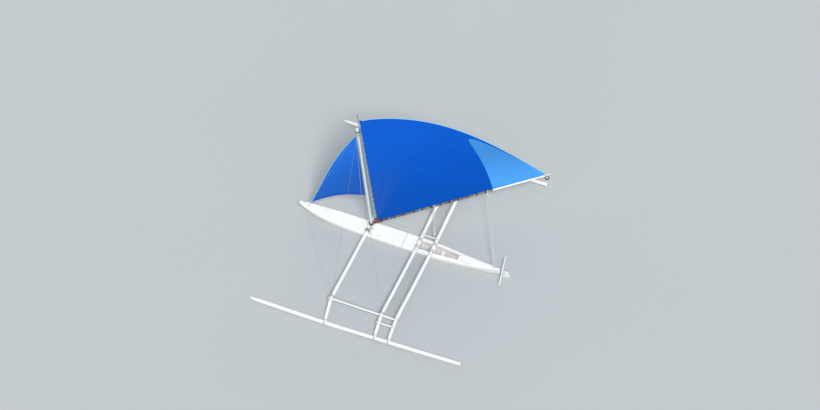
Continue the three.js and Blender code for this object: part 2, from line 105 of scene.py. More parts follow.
# A float: x, radius, height above its axis
FLOAT_STATIONS = np.array([
    [5.15, 0.012, 0.066],
    [5.04, 0.046, 0.054],
    [4.85, 0.072, 0.042],
    [4.50, 0.083, 0.035],
    [3.50, 0.085, 0.019],
    [2.40, 0.085, 0.005],
    [1.20, 0.085, 0.0],
    [0.60, 0.085, 0.017],
    [0.0, 0.085, 0.039],
    [-1.0, 0.085, 0.082],
    [-2.0, 0.085, 0.128],
    [-3.0, 0.085, 0.177],
    [-4.0, 0.085, 0.229],
    [-4.90, 0.080, 0.277],
    [-5.19, 0.074, 0.293],
])

# The sail's plane turns about the mast: r is the distance aft of it, z the height
MAST_X, MAST_RADIUS, MAST_TIP, BAND_TOP = 1.356, 0.065, 0.057, 8.005
SAIL_TURN = math.radians(33.4)
BOOM_R0, BOOM_Z0, BOOM_R1, BOOM_Z1 = 0.1114, 0.9069, 8.335, 2.1818
# The boom is white from BOOM_SUNLIT_FROM aft as painted sunlight; the brown before it is painted shade of
# the sail.
BOOM_RADIUS, BOOM_TIP, BOOM_SUNLIT_FROM = 0.056, 0.054, 5.62
BOOM_SLOPE = (BOOM_Z1 - BOOM_Z0) / (BOOM_R1 - BOOM_R0)
YARD_R0, YARD_R1, YARD_Z0, YARD_Z1 = 0.215, 0.096, 0.980, 9.465
YARD_RADIUS, YARD_TIP, CANE_STEP = 0.046, 0.026, 0.37
TACK, CLEW = np.array([0.285, 0.9909]), np.array([8.14, 2.2071])
THROAT, PEAK, ROACH = np.array([0.152, 9.010]), np.array([0.268, 8.945]), 0.395
PANEL_CENTRE, PANEL_RADIUS, CREASES = (-6.88, 0.21), 12.654, 92.0
# The distance between lacings along the luff and along the foot
LUFF_STEP, FOOT_STEP = 0.45, 0.42
STAY_FOOT, STAY_HEAD = np.array([4.545, 0, 0.604]), np.array([1.4402, 0, 8.005])
JIB_CLEW = np.array([1.590, -0.450, 2.420])
SHROUD_END = 4.080
SHEET_EYE, SHEET_R, TACKLE_R, COIL_R = (-4.66, 0, 0.497), 5.42, 2.92, 8.17
SHEET_LEAD, BLOCK_SIZE = np.array([1.452, -0.52, 0.628]), 0.062
TACKLE_EYE, STEERING_HOLE = (-1.57, -0.43, 0.60), (-2.96, 0.10, 0.475)
# Halyards: their places at the mast, from its axis, and on deck
HALYARDS, HALYARD_TOP = (((0.086, 0.035), (1.665, 0.15)), ((0.02, 0.092), (1.335, 0.26))), 7.93

RUDDER_X, RUDDER_TURN, YOKE_Z = -5.030, math.radians(11.5), 0.4703
# The rudder's outline: height, front edge, back edge, thickness
RUDDER_LINES = np.array([
    [-0.560, -0.120, -0.190, 0.008],
    [-0.548, -0.078, -0.226, 0.018],
    [-0.500, -0.050, -0.256, 0.024],
    [-0.300, -0.038, -0.326, 0.032],
    [-0.150, -0.038, -0.366, 0.034],
    [0.100, -0.038, -0.356, 0.034],
    [0.300, -0.038, -0.343, 0.034],
    [0.385, -0.042, -0.325, 0.032],
    [0.422, -0.062, -0.292, 0.026],
    [0.4385, -0.110, -0.200, 0.010],
])

CAMERA_AZIMUTH, CAMERA_ELEVATION, CAMERA_ROLL = np.radians((120.2776, 57.2679, -7.8894))
CAMERA_DISTANCE = 136.6994
# Where the camera looks past the origin, right and up, as a share of the distance
AIM_RIGHT, AIM_UP = 9.901 / 3000.04, 37.518 / 3000.04
# The fill light's turn from the key light, its height, and how wide both lights look
FILL_TURN, FILL_ELEVATION, KEY_SPREAD, FILL_SPREAD = np.radians((150, 40, 14, 60))


def math_node(operation, flipped=False):
    """A Python operator that adds a Math node."""

    def operator(self, other):
        return self.math(operation, *((other, self) if flipped else (self, other)))

    return operator


class Signal:
    """An output socket. Arithmetic on it adds Math nodes to its material."""

    def __init__(self, paint, socket):
        self.paint, self.socket = paint, socket

    def math(self, operation, *values):
        return self.paint.node("ShaderNodeMath", dict(enumerate(values)), operation=operation)

    def wave(self):
        return self.math("SINE", self)

    def repeat(self, length):
        """The distance to the nearest multiple of a length."""
        return self.math("PINGPONG", self, length / 2)

    def __abs__(self):
        return self.math("ABSOLUTE", self)

    __add__ = __radd__ = math_node("ADD")
    __mul__ = __rmul__ = math_node("MULTIPLY")
    __sub__, __rsub__ = math_node("SUBTRACT"), math_node("SUBTRACT", flipped=True)
    __truediv__, __pow__ = math_node("DIVIDE"), math_node("POWER")
    __gt__, __lt__ = math_node("GREATER_THAN"), math_node("LESS_THAN")


class Paint:
    """A node material: one method adds every node."""

    def __init__(self, name):
        self.material = bpy.data.materials.new(name)
        self.material.use_nodes = True
        self.tree = self.material.node_tree
        self.tree.nodes.clear()
        self.at = self.node("ShaderNodeTexCoord", {}, "Object")

    def node(self, kind, inputs, output=0, **settings):
        """Adds a node with its settings, then gives its sockets values or links."""
        made = self.tree.nodes.new(kind)
        for key, value in settings.items():
            setattr(made, key, value)
        for key, value in inputs.items():
            socket = made.inputs[key]
            if isinstance(value, Signal):
                self.tree.links.new(value.socket, socket)
            else:
                socket.default_value = value
        return Signal(self, made.outputs[output]) if made.outputs else None

    def axes(self, vector):
        return [self.node("ShaderNodeSeparateXYZ", {0: vector}, axis) for axis in range(3)]

    def uv(self):
        return self.axes(self.node("ShaderNodeTexCoord", {}, "UV"))[:2]

    def noise(self, scale=1.0, detail=3.0, stretch=None, at=None):
        """Noise from 0 to 1; stretch gives its rate along each axis."""
        at = at or self.at
        if stretch:
            at = self.node("ShaderNodeVectorMath", {0: at, 1: stretch}, operation="MULTIPLY")
        return self.node("ShaderNodeTexNoise", {"Vector": at, "Scale": scale, "Detail": detail})

    def ramp(self, value, low, high):
        """A smooth step from 0 to 1 as value goes from low to high."""
        inputs = {"Value": value, "From Min": low, "From Max": high}
        return self.node("ShaderNodeMapRange", inputs, interpolation_type="SMOOTHSTEP")

    def patches(self, scale, detail, low, high, stretch=None):
        """Patches where noise is above a value, with soft edges."""
        return self.ramp(self.noise(scale, detail, stretch), low, high)

    def mix(self, factor, a, b):
        """A colour from a to b."""
        a, b = (color if isinstance(color, Signal) else rgba(color) for color in (a, b))
        return self.node("ShaderNodeMix", {0: factor, 6: a, 7: b}, 2, data_type="RGBA")

    def layers(self, tone, *coats):
        """Lays coats over a colour, each with its mask, its strength and its colour."""
        for mask, strength, color in coats:
            tone = self.mix(mask * strength, tone, color)
        return tone

    def surface(self, color, roughness, bump=None, glow=None, **fixed):
        """Ends the material in a Principled shader. bump gives a height, its strength
        and its depth; glow lets a share of light through."""
        inputs = {"Base Color": color, "Roughness": roughness}
        if bump:
            names = ("Height", "Strength", "Distance")
            inputs["Normal"] = self.node("ShaderNodeBump", dict(zip(names, bump)))
        inputs.update({key.replace("_", " "): value for key, value in fixed.items()})
        shader = self.node("ShaderNodeBsdfPrincipled", inputs)
        if glow:
            share, tint = glow
            through = self.node("ShaderNodeBsdfTranslucent", {"Color": rgba(tint)})
            shader = self.node("ShaderNodeMixShader", {0: share, 1: shader, 2: through})
        self.node("ShaderNodeOutputMaterial", {0: shader})
        return self.material


def rgba(color):
    return (*color[:3], 1.0)


def shade(color, factor):
    """A colour made lighter or darker."""
    return [min(1.0, c * factor) for c in color[:3]]


def white_paint(name, color, streak=(1.2, 1.2, 1.2), dirt=0.5):
    """Brushed white paint: yellowed in broad clouds, scuffed in small spots."""
    paint = Paint(name)
    clouds = paint.patches(1.1, 4.0, 0.42, 0.75, streak)
    scuffs = paint.patches(26.0, 5.0, 0.60, 0.78)
    brush = paint.noise(60.0, 2.0, (0.15, 1.0, 1.0))
    yellowed, scuffed = (0.66, 0.62, 0.50), (0.36, 0.34, 0.30)
    tone = paint.layers(color, (clouds, 0.55 * dirt, yellowed), (scuffs, 0.45 * dirt, scuffed))
    height = brush * 0.5 + scuffs * -0.4
    return paint.surface(tone, 0.36 + clouds * 0.16 + scuffs * 0.2, (height, 0.25, 0.002))


def hull_paint(color, inside):
    """White topsides with run marks under the rail, a scum line along the waterline, a
    gritty deck with a joint across it, and in the wells paint of another colour with worn patches, turning
    brown towards the top of the walls."""
    paint = Paint("hull_white")
    x, y, z = paint.axes(paint.at)

    def within(a, b, slack):
        return abs(x - (a + b) / 2) < abs(a - b) / 2 + slack

    top = z > DECK - 0.004
    clouds = paint.patches(0.9, 4.0, 0.45, 0.75)
    runs = paint.patches(1.0, 4.0, 0.52, 0.75, (9.0, 9.0, 0.7)) * (1 - top) * paint.ramp(z, -0.25, 0.3)
    scum = paint.ramp(z + paint.noise(7.0) * 0.08, 0.10, 0.05)
    tread = paint.patches(2.2, 5.0, 0.52, 0.72) * top
    joint = paint.ramp(abs(x + 0.25), 0.009, 0.006) * top
    plank = paint.ramp(abs(abs(y) - 0.12), 0.004, 0.002) * top * 0.35
    gaps = joint + plank
    front, bridge_front, bridge_back, back = WELL_ENDS
    well = within(front, back, 0.005) * (1 - within(bridge_front, bridge_back, -0.005))
    well = well * (z < DECK - 0.006) * (z > WELL_FLOOR - 0.01) * (abs(y) < WELL_WIDTHS[1] - 0.0005)
    tone = paint.layers(
        color,
        (clouds, 0.22, (0.70, 0.67, 0.56)),
        (runs, 0.35, (0.52, 0.49, 0.40)),
        (tread, 0.22, (0.50, 0.48, 0.42)),
        (scum, 0.55, (0.30, 0.33, 0.22)),
        (paint.ramp(z, 0.02, -0.04), 0.5, (0.20, 0.24, 0.17)),
        (gaps, 0.8, (0.10, 0.10, 0.09)),
    )
    wear = paint.patches(6.0, 5.0, 0.35, 0.7)
    # Browner towards the top of the well walls.
    brown_upper_walls = paint.ramp(z + paint.noise(9.0) * 0.3, 0.36, 0.52)
    worn = paint.layers(inside, (wear, 0.6, shade(inside, 0.78)), (brown_upper_walls, 0.45, (0.42, 0.24, 0.19)))
    rough = 0.34 + top * 0.26 + clouds * 0.1 + scum * 0.3 + well * 0.3
    height = paint.noise(420.0, 2.0) * top * 0.5 - gaps * 2.0 - runs * 0.1
    return paint.surface(paint.mix(well, tone, worn), rough, (height, 0.35, 0.003))


def cane(name, color, sunlit_from=None):
    """Bamboo along the first UV axis, in metres: a pale ring under a dark one at every
    joint, long fibres, and weathered patches; past sunlit_from the rest is painted white, as painted
    sunlight beyond the edge of the sail's shadow."""
    paint = Paint(name)
    u, v = paint.uv()
    near = (u + paint.noise(0.6, 1.0) * 0.05).repeat(CANE_STEP)
    dark = paint.ramp(near, 0.007, 0.003)
    pale = paint.ramp(near, 0.030, 0.012) * (1 - dark)
    line = paint.node("ShaderNodeCombineXYZ", {0: u * 1.5, 1: (v * math.tau).wave() * 9.0, 2: v * 14.0})
    fibre = paint.noise(3.0, 4.0, at=line)
    patch = paint.patches(2.6, 4.0, 0.42, 0.68)
    tone = paint.layers(
        paint.mix(fibre, shade(color, 0.72), shade(color, 1.25)),
        (patch, 0.5, (0.42, 0.38, 0.28)),
        (pale, 0.4, (0.62, 0.62, 0.52)),
        (dark, 0.75, (0.07, 0.05, 0.03)),
    )
    # Painted sunlight: white past sunlit_from, beyond the edge of the sail's shadow.
    if sunlit_from:
        painted_sunlight = paint.ramp(u + paint.noise(30.0) * 0.02, sunlit_from, sunlit_from + 0.02)
        painted_sunlight = painted_sunlight * (1 - paint.patches(18.0, 5.0, 0.66, 0.72) * 0.8)
        tone = paint.mix(painted_sunlight, tone, colours().white)
    height = dark * -1.0 + pale * 0.6 + fibre * 0.2
    return paint.surface(tone, 0.42 + patch * 0.25, (height, 0.5, 0.003))


def bare_wood(name, color):
    """Planed hardwood with long grain, darker where it is worn."""
    paint = Paint(name)
    grain = paint.noise(14.0, 5.0, (0.3, 5.0, 5.0))
    worn = paint.patches(4.0, 4.0, 0.45, 0.7)
    tone = paint.mix(grain, shade(color, 0.55), shade(color, 1.2))
    tone = paint.mix(worn * 0.4, tone, shade(color, 0.4))
    return paint.surface(tone, 0.5 + worn * 0.25, (grain, 0.3, 0.002))


def laid_rope(name, color, pitch=0.02, strands=3.0, dirt=0.35, groove_shade=0.45):
    """Rope on the piece's UV map: bright crowns, and painted shade in the grooves between its strands."""
    paint = Paint(name)
    u, v = paint.uv()
    lay = ((u / pitch + v * strands) * math.tau).wave() * 0.5 + 0.5
    fine = ((u / (pitch * 0.14) - v * 9.0) * math.tau).wave() * 0.5 + 0.5
    tone = paint.mix(lay, shade(color, groove_shade), color)
    tone = paint.mix(paint.patches(5.0, 4.0, 0.4, 0.7) * dirt, tone, (0.30, 0.27, 0.2))
    return paint.surface(tone, 0.85, (lay + fine * 0.2, 0.8, 0.002))


def stranded_wire(name, color):
    """Wire rope: fine bright strands with dull grease and painted shade between them."""
    paint = Paint(name)
    z = paint.axes(paint.at)[2]
    lay = (z * 160.0 + paint.noise(40.0) * 2.0).wave() * 0.5 + 0.5
    tone = paint.mix(lay, shade(color, 0.5), color)
    return paint.surface(tone, 0.28 + lay * 0.2, (lay, 0.5, 0.001), Metallic=0.85)


def galvanised(name, color):
    """Zinc-coated steel: spangle, dull patches and brown spots."""
    paint = Paint(name)
    cells = paint.node("ShaderNodeTexVoronoi", {"Vector": paint.at, "Scale": 45.0})
    dull, rust = paint.patches(9.0, 4.0, 0.4, 0.7), paint.patches(22.0, 5.0, 0.62, 0.74)
    tone = paint.mix(cells, shade(color, 0.75), color)
    tone = paint.mix(rust * 0.7, tone, (0.24, 0.11, 0.05))
    rough = 0.34 + dull * 0.2 + rust * 0.3
    return paint.surface(tone, rough, (cells, 0.15, 0.001), Metallic=0.9 - rust * 0.8)


def sailcloth(name, base, seam_along, panel, over):
    """Woven sailcloth on flat coordinates in metres, kept in the UV map.

    Lighter towards the head and the luff and darker towards the foot and the leech, as painted light and
    painted shade, with faint slanting streaks. Panel seams are parallel lines a panel apart, each with two
    rows of stitches.
    over is a function that paints bands on the tone and returns it with the height of its creases."""
    paint = Paint(name)
    u, v = paint.uv()
    away = (u * seam_along[0] + v * seam_along[1]).repeat(panel)
    lap = paint.ramp(away, 0.016, 0.013)
    stitch = paint.ramp(abs(away - 0.011), 0.0022, 0.0012)
    soft, ripple = paint.noise(0.55), paint.noise(3.5, 4.0)
    lean = paint.node("ShaderNodeCombineXYZ", {0: u * 0.87 - v * 0.5, 1: u * 0.5 + v * 0.87})
    streak = paint.noise(1.0, 3.0, (0.16, 2.6, 1.0), lean)
    weave = ((u * 900.0).wave() + (v * 900.0).wave()) * 0.25 + 0.5
    # Painted light: lighter towards the head and the luff, painted shade towards the foot and the leech.
    painted_head_light = paint.ramp(v - u * 0.15 + (soft - 0.5) * 2.0, 0.4, 7.2)
    tone = paint.layers(
        paint.mix(painted_head_light, shade(base, 0.79), shade(base, 1.20)),
        (paint.ramp(streak, 0.3, 0.7), 0.12, shade(base, 0.6)),
        (lap, 0.06, shade(base, 0.6)),
        (stitch, 0.06, (0.55, 0.68, 0.85)),
    )
    tone, crease = over(paint, u, v, tone)
    height = lap * 0.3 + stitch * 0.1 - crease + ripple * 1.5 + streak * 1.2 + weave * 0.04
    rough = 0.5 + soft * 0.1
    return paint.surface(tone, rough, (height, 0.5, 0.004), (0.12, base), Specular_IOR_Level=0.06)


def painted_clew_light(paint, r, z, tone):
    """The light panel at the clew is painted sunlight: the clew corner lit past the edge of the sail's own
    shadow, the rest of the cloth left in shade. It begins at a shallow arc that crosses the sail, and
    leaves a strip of the main cloth along the leech that widens with the power 1.5 of the way up; the two
    edges meet in a round corner. Fine creases fan from the clew, with painted shade along them, and a few
    broad pale ones rise from the tack beside the luff, as painted highlights."""

    def seen_from(point):
        """Steps aft and up from a point of the sail, and the distance."""
        aft, up = r - point[0], z - point[1]
        return aft, up, (aft**2.0 + up**2.0) ** 0.5

    length = float(np.linalg.norm(PEAK - CLEW))
    way = (PEAK - CLEW) / length
    dr, dz, reach = seen_from(CLEW)
    angle = dz.math("ARCTAN2", dz, dr * -1.0)
    share = (dr * way[0] + dz * way[1]) / length
    inside = (((1 - share) ** 0.85) * math.pi).wave() * ROACH - (dr * way[1] - dz * way[0])
    strip = (share.math("MAXIMUM", share, 0.0) * (1 / 0.39)) ** 1.5 * 0.13
    far = seen_from(PANEL_CENTRE)[2] - PANEL_RADIUS
    edge = far.math("SMOOTH_MIN", far, inside - strip, 0.60)
    wander = paint.noise(0.9, 1.0) * 1.6
    fan = paint.ramp((angle * CREASES + wander).wave(), 0.55, 0.98)
    fan = fan * paint.ramp(reach, 4.6, 1.6) * paint.ramp(reach, 0.2, 0.7)
    aft, up, rise = seen_from(TACK)
    up_luff = up.math("ARCTAN2", up, aft)
    # Painted highlights: broad pale streaks of the creases that rise from the tack beside the luff.
    pull = paint.ramp((up_luff * 34.0 + wander * 1.5).wave(), -1.0, 1.0) * 0.6 + 0.4
    pull = pull * paint.ramp(up_luff, 0.98, 1.32) * paint.ramp(rise, 5.6, 1.0)
    tone = paint.mix(pull * 0.5, tone, (0.030, 0.130, 0.52))
    # The clew panel is painted sunlight, painted lighter still towards the foot of the sail.
    light = colours().panel
    cloth = paint.mix(paint.ramp(z - r * 0.1, 3.6, 1.4), shade(light, 0.82), shade(light, 1.12))
    # Painted shade along the fine creases that fan from the clew.
    cloth = paint.mix(fan * 0.4, cloth, shade(light, 0.55))
    panel = paint.ramp(edge, -0.008, 0.008)
    return paint.mix(panel, tone, cloth), fan * (1 + panel)


def jib_bands(paint, back, high, tone):
    """A pale tape along the luff and a darker band along the foot."""
    foot = paint.ramp(high - 0.9 + back * 0.4, 0.31, 0.28)
    tape = paint.ramp(back, 0.066, 0.058)
    tone = paint.mix(foot * 0.9, tone, colours().jib_foot)
    return paint.mix(tape, tone, colours().band), foot * 0.3 + tape * 0.3


def hem_cloth(name, color):
    """Hem tape: close weave across a folded edge."""
    paint = Paint(name)
    ribs = (paint.uv()[0] * 400.0).wave() * 0.5 + 0.5
    tone = paint.mix(paint.noise(3.0), shade(color, 0.85), color)
    return paint.surface(tone, 0.6, (ribs, 0.3, 0.001))


def pale_floor(color):
    """A plain pale floor with a barely visible mottle."""
    paint = Paint("pale_floor")
    return paint.surface(paint.mix(paint.noise(0.08, 2.0), shade(color, 0.985), shade(color, 1.015)), 0.9)


def unit(vectors):
    """Vectors of the same direction and of length 1."""
    return vectors / np.maximum(np.linalg.norm(vectors, axis=-1, keepdims=True), 1e-12)


def between(a, b, share):
    """The value a share of the way from a to b."""
    return a + (b - a) * share


def through(x, table, column):
    """A cubic through a table's column whose slope at each point is the harmonic mean of
    the slopes beside it, and zero where they differ in sign, so it never overshoots."""
    xs, ys = table[np.argsort(table[:, 0])][:, [0, column]].T
    step = np.diff(xs)
    rate = np.diff(ys) / step
    same = rate[1:] * rate[:-1] > 0
    mean = 2 * rate[1:] * rate[:-1] / np.where(same, rate[1:] + rate[:-1], 1)
    slope = np.concatenate([rate[:1], np.where(same, mean, 0), rate[-1:]])
    i = np.clip(np.searchsorted(xs, x) - 1, 0, len(step) - 1)
    h = step[i]
    t = (x - xs[i]) / h
    a = ys[i] * (1 + 2 * t) * (1 - t) ** 2 + h * slope[i] * t * (1 - t) ** 2
    return a + ys[i + 1] * t * t * (3 - 2 * t) - h * slope[i + 1] * t * t * (1 - t)


def added(name, data):
    """A new object in the scene."""
    made = bpy.data.objects.new(name, data)
    bpy.context.scene.collection.objects.link(made)
    return made


class Skin:
    """Grids of points gathered into one mesh."""

    def __init__(self):
        self.points, self.faces, self.uvs, self.count = [], [], [], 0

    def grid(self, points, uv=None, around=False):
        """Adds rows and columns of points. around joins the last column to the first,
        and its uv then has one more column than its points."""
        rows, cols = points.shape[:2]
        i, j = np.meshgrid(np.arange(rows - 1), np.arange(cols if around else cols - 1), indexing="ij")
        k = (j + 1) % cols
        corners = [i * cols + j, i * cols + k, (i + 1) * cols + k, (i + 1) * cols + j]
        if uv is None:
            uv = np.zeros((rows, cols + 1, 2))
        places = [uv[i, j], uv[i, j + 1], uv[i + 1, j + 1], uv[i + 1, j]]
        self.points.append(points.reshape(-1, 3))
        self.faces.append(np.stack(corners, -1).reshape(-1, 4) + self.count)
        self.uvs.append(np.stack(places, -2).reshape(-1, 2))
        self.count += rows * cols
        return self

    def rod(self, along, radius, rows=24, sides=8, ref=None, bevel=0.25, cuts=(None, None)):
        """A round bar along a path given as a function of 0 to 1, with bevelled ends.

        The ring at each place stands square to the path, its first direction square to
        ref as well. A ring of no size closes each end. A cut, a point and a direction,
        slides the rings at its end along the bar onto the plane through the point."""
        t = np.concatenate([[0, 0], np.linspace(0, 1, rows), [1, 1]])
        step = 1e-4
        path = along(t)
        ahead = unit(along(np.minimum(t + step, 1)) - along(np.maximum(t - step, 0)))
        if ref is None:
            ref = np.eye(3)[np.argmin(np.abs(ahead).mean(0))]
        size = radius(t) if callable(radius) else np.full(len(t), radius)
        path[2] += ahead[2] * size[2] * bevel
        path[-3] -= ahead[-3] * size[-3] * bevel
        shrink = np.ones(len(t))
        shrink[[0, 1, -2, -1]] = 0, 1 - bevel, 1 - bevel, 0
        side = unit(np.cross(ahead, ref))
        up = np.cross(side, ahead)
        turn = np.arange(sides) * math.tau / sides
        ring = np.cos(turn)[None, :, None] * side[:, None] + np.sin(turn)[None, :, None] * up[:, None]
        points = path[:, None] + (size * shrink)[:, None, None] * ring
        for cut, rings, way in ((cuts[0], (0, 1, 2), ahead[2]), (cuts[1], (-1, -2, -3), ahead[-3])):
            for row in rings if cut else ():
                gap = (cut[0] - points[row]) @ cut[1] / (way @ cut[1])
                points[row] += gap[:, None] * way
        run = np.concatenate([[0], np.cumsum(np.linalg.norm(np.diff(path, axis=0), axis=1))])
        uv = np.stack(np.broadcast_arrays(run[:, None], np.linspace(0, 1, sides + 1)[None]), -1)
        return self.grid(points, uv, around=True)

    def line(self, a, b, radius, rows=2, **options):
        """A straight rod from a to b."""
        a, b = np.asarray(a, float), np.asarray(b, float)
        return self.rod(lambda t: between(a, b, t[:, None]), radius, rows, **options)

    def build(self, name, material, slot, body="boat", replaces=(), sharp=80):
        """Makes the mesh and finishes it."""
        points, faces = np.concatenate(self.points), np.concatenate(self.faces)
        mesh = bpy.data.meshes.new(name)
        mesh.vertices.add(len(points))
        mesh.vertices.foreach_set("co", points.astype(np.float32).ravel())
        mesh.loops.add(faces.size)
        mesh.loops.foreach_set("vertex_index", faces.astype(np.int32).ravel())
        mesh.polygons.add(len(faces))
        mesh.polygons.foreach_set("loop_start", np.arange(0, faces.size, 4, dtype=np.int32))
        mesh.update(calc_edges=True)
        layer = mesh.uv_layers.new(name="UVMap")
        layer.data.foreach_set("uv", np.concatenate(self.uvs).astype(np.float32).ravel())
        return finished(mesh, name, material, body, replaces, sharp)


def finished(mesh, name, material, body, replaces, sharp, flatten=False):
    """Merges a mesh's doubles, turns its faces outward, shades it smooth below the sharp
    angle, and puts it in the scene. flatten joins the triangles of a flat face first."""
    work = bmesh.new()
    work.from_mesh(mesh)
    bmesh.ops.remove_doubles(work, verts=work.verts, dist=1e-5 if flatten else 1e-6)
    if flatten:
        angle = math.radians(1)
        bmesh.ops.dissolve_limit(work, angle_limit=angle, verts=work.verts, edges=work.edges)
    bmesh.ops.recalc_face_normals(work, faces=work.faces)
    work.to_mesh(mesh)
    work.free()
    mesh.shade_smooth()
    mesh.set_sharp_from_angle(angle=math.radians(sharp))
    mesh.materials.append(material)
    piece = added(name, mesh)
    if replaces:
        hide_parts(*replaces)
    if body:
        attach(piece, body)
    return piece


def refined(node, material, bevel, body="boat"):
    """A merged copy of a CAD node with rounded edges, in its place."""
    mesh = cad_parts[node].data.copy()
    mesh.materials.clear()
    piece = finished(mesh, node + "_piece", material, body, [node], 35, flatten=True)
    rounding = piece.modifiers.new("edge", "BEVEL")
    rounding.width, rounding.segments = bevel, 2
    rounding.limit_method, rounding.angle_limit = "ANGLE", math.radians(40)


def capped(rows):
    """Adds a row of no size at each end, which closes the grid there."""
    first, last = (np.broadcast_to(row.mean(0), row.shape)[None] for row in (rows[0], rows[-1]))
    return np.concatenate([first, rows, last])


def hull_lines(x):
    """Half width, deck height and keel height of the hull at each x."""
    return [through(x, STATIONS, column) for column in (1, 2, 3)]


def arm(y):
    """How far out along a beam's rising arm a place is, from 0 to 1 at the elbow."""
    return np.maximum(0, (np.abs(y) - BEAM_FLAT) / (ELBOW - BEAM_FLAT))


def beam_height(y):
    """Level over the hull, then rising with the power 1.4 of the way to the elbow."""
    return BEAM_Z + BEAM_RISE * arm(y) ** 1.4


def beam_radius(y):
    """A straight taper along the arm."""
    return between(BEAM_RADIUS, BEAM_TIP, arm(y))


def leg_radius(share):
    """A straight taper down the leg."""
    return between(LEG_RADIUS, LEG_FOOT, share)


def float_axis(x):
    """The float's centre line: a slight toe, and a rise towards both ends."""
    x = np.asarray(x, float)
    return np.stack([x, FLOAT_Y + FLOAT_TOE * x, FLOAT_Z + through(x, FLOAT_STATIONS, 2)], -1)


def leg_ends(name):
    """A port leg's upper and lower end, and its slope."""
    x, foot = BEAMS[name]
    seat = float_axis(foot) + (0, -LEG_INSET, FLOAT_RADIUS)
    return np.array([x, ELBOW, LEG_TOP]), seat, math.atan2(seat[2] - LEG_TOP, seat[1] - ELBOW)


def on_leg(name, side, share, lift=0.0):
    """A point beside a leg's axis, a share of the way down and lifted square to it."""
    top, seat, slope = leg_ends(name)
    at = between(top, seat, share) + np.array([0, -math.sin(slope), math.cos(slope)]) * lift
    return at * (1, side, 1)


def turned(ahead, port, z, pivot, angle):
    """Turns places beside an upright axis, ahead of it and to port, into the frame."""
    ahead, port, z = np.broadcast_arrays(np.asarray(ahead, float), port, z)
    c, s = math.cos(angle), math.sin(angle)
    return np.stack([pivot + ahead * c - port * s, ahead * s + port * c, z], -1)


def in_sail(r, w, z):
    """Places in the sail's plane: distance aft of the mast, to leeward, and height."""
    return turned(-r, -w, z, MAST_X, SAIL_TURN)


def in_rudder(ahead, port, z):
    """Places beside the rudder's axis: ahead of it, to port, and height."""
    return turned(ahead, port, z, RUDDER_X, RUDDER_TURN)


def boom_at(r, below=0.0):
    """A point on the boom's axis, or below it."""
    return in_sail(r, 0, BOOM_Z0 + BOOM_SLOPE * (r - BOOM_R0) - below)


SAIL_AFT, SAIL_PORT = in_sail(1, 0, 0) - in_sail(0, 0, 0), in_sail(0, -1, 0) - in_sail(0, 0, 0)


def lash(skin, origin, e1, e2, rounds, turns, cord, per_turn=22, wide=1.0):
    """Turns of cord side by side round some members, in the plane of e1 and e2. Each
    round is a centre and a radius, which wide stretches along e1. At each angle of the
    outward normal, the ellipse that reaches furthest carries the cord."""
    origin, e1, e2 = (np.asarray(v, float) for v in (origin, e1, e2))
    axis = np.cross(e1, e2)
    centre = np.array([ring[:2] for ring in rounds])[None]
    half = np.array([(ring[2] * wide + cord, ring[2] + cord) for ring in rounds])[None]

    def along(t):
        angle = t * turns * math.tau
        n = np.stack([np.cos(angle), np.sin(angle)], -1)[:, None]
        length = np.sqrt((half * n) ** 2 @ np.ones(2))
        place = centre + half**2 * n / length[..., None]
        flat = place[np.arange(len(t)), np.argmax((place * n).sum(-1), axis=1)]
        drift = (t - 0.5)[:, None] * axis * turns * 2.1 * cord
        return origin + flat[:, :1] * e1 + flat[:, 1:] * e2 + drift

    skin.rod(along, cord, turns * per_turn, 5, axis)


def cross_lash(skin, at, up, first, second):
    """Two crossed sets of turns round two poles, each given by its direction and its
    radius. The second lies on the first, on the side that up points to."""
    (a, ra), (b, rb) = first, second
    for sign in (1, -1):
        across = unit(np.asarray(a, float) + sign * np.asarray(b, float))
        lash(skin, at, across, up, [(0, 0, ra), (0, ra + rb, rb)], 3, 0.004, wide=1.3)


def block(skin, at, down, across, size=BLOCK_SIZE):
    """A pulley: two rounded cheeks beside a grooved wheel on a pin, hung along down."""
    at, down, across = np.asarray(at, float), unit(np.asarray(down, float)), unit(np.asarray(across, float))
    across = unit(across - down * (across @ down))
    face = np.cross(down, across)
    turn = np.linspace(0, math.tau, 29)[:-1]
    cheek = [(0.0, 0.16), (0.92, 0.16), (1.0, 0.24), (1.0, 0.34), (0.9, 0.42), (0.0, 0.44)]
    wheel = [(0.0, -0.15), (0.6, -0.15), (0.5, 0.0), (0.6, 0.15), (0.0, 0.15)]
    for profile, squeeze, side in ((cheek, 0.72, -1), (cheek, 0.72, 1), (wheel, 1.0, 1)):
        outline = np.cos(turn)[:, None] * down + squeeze * np.sin(turn)[:, None] * across
        rows = [at + size * (reach * outline + side * out * face) for reach, out in profile]
        skin.grid(np.stack(rows), around=True)
    skin.line(at - face * size * 0.55, at + face * size * 0.55, size * 0.14, sides=10)


def colours():
    """The colours set for the scene."""
    return bpy.context.scene.canoe_colours


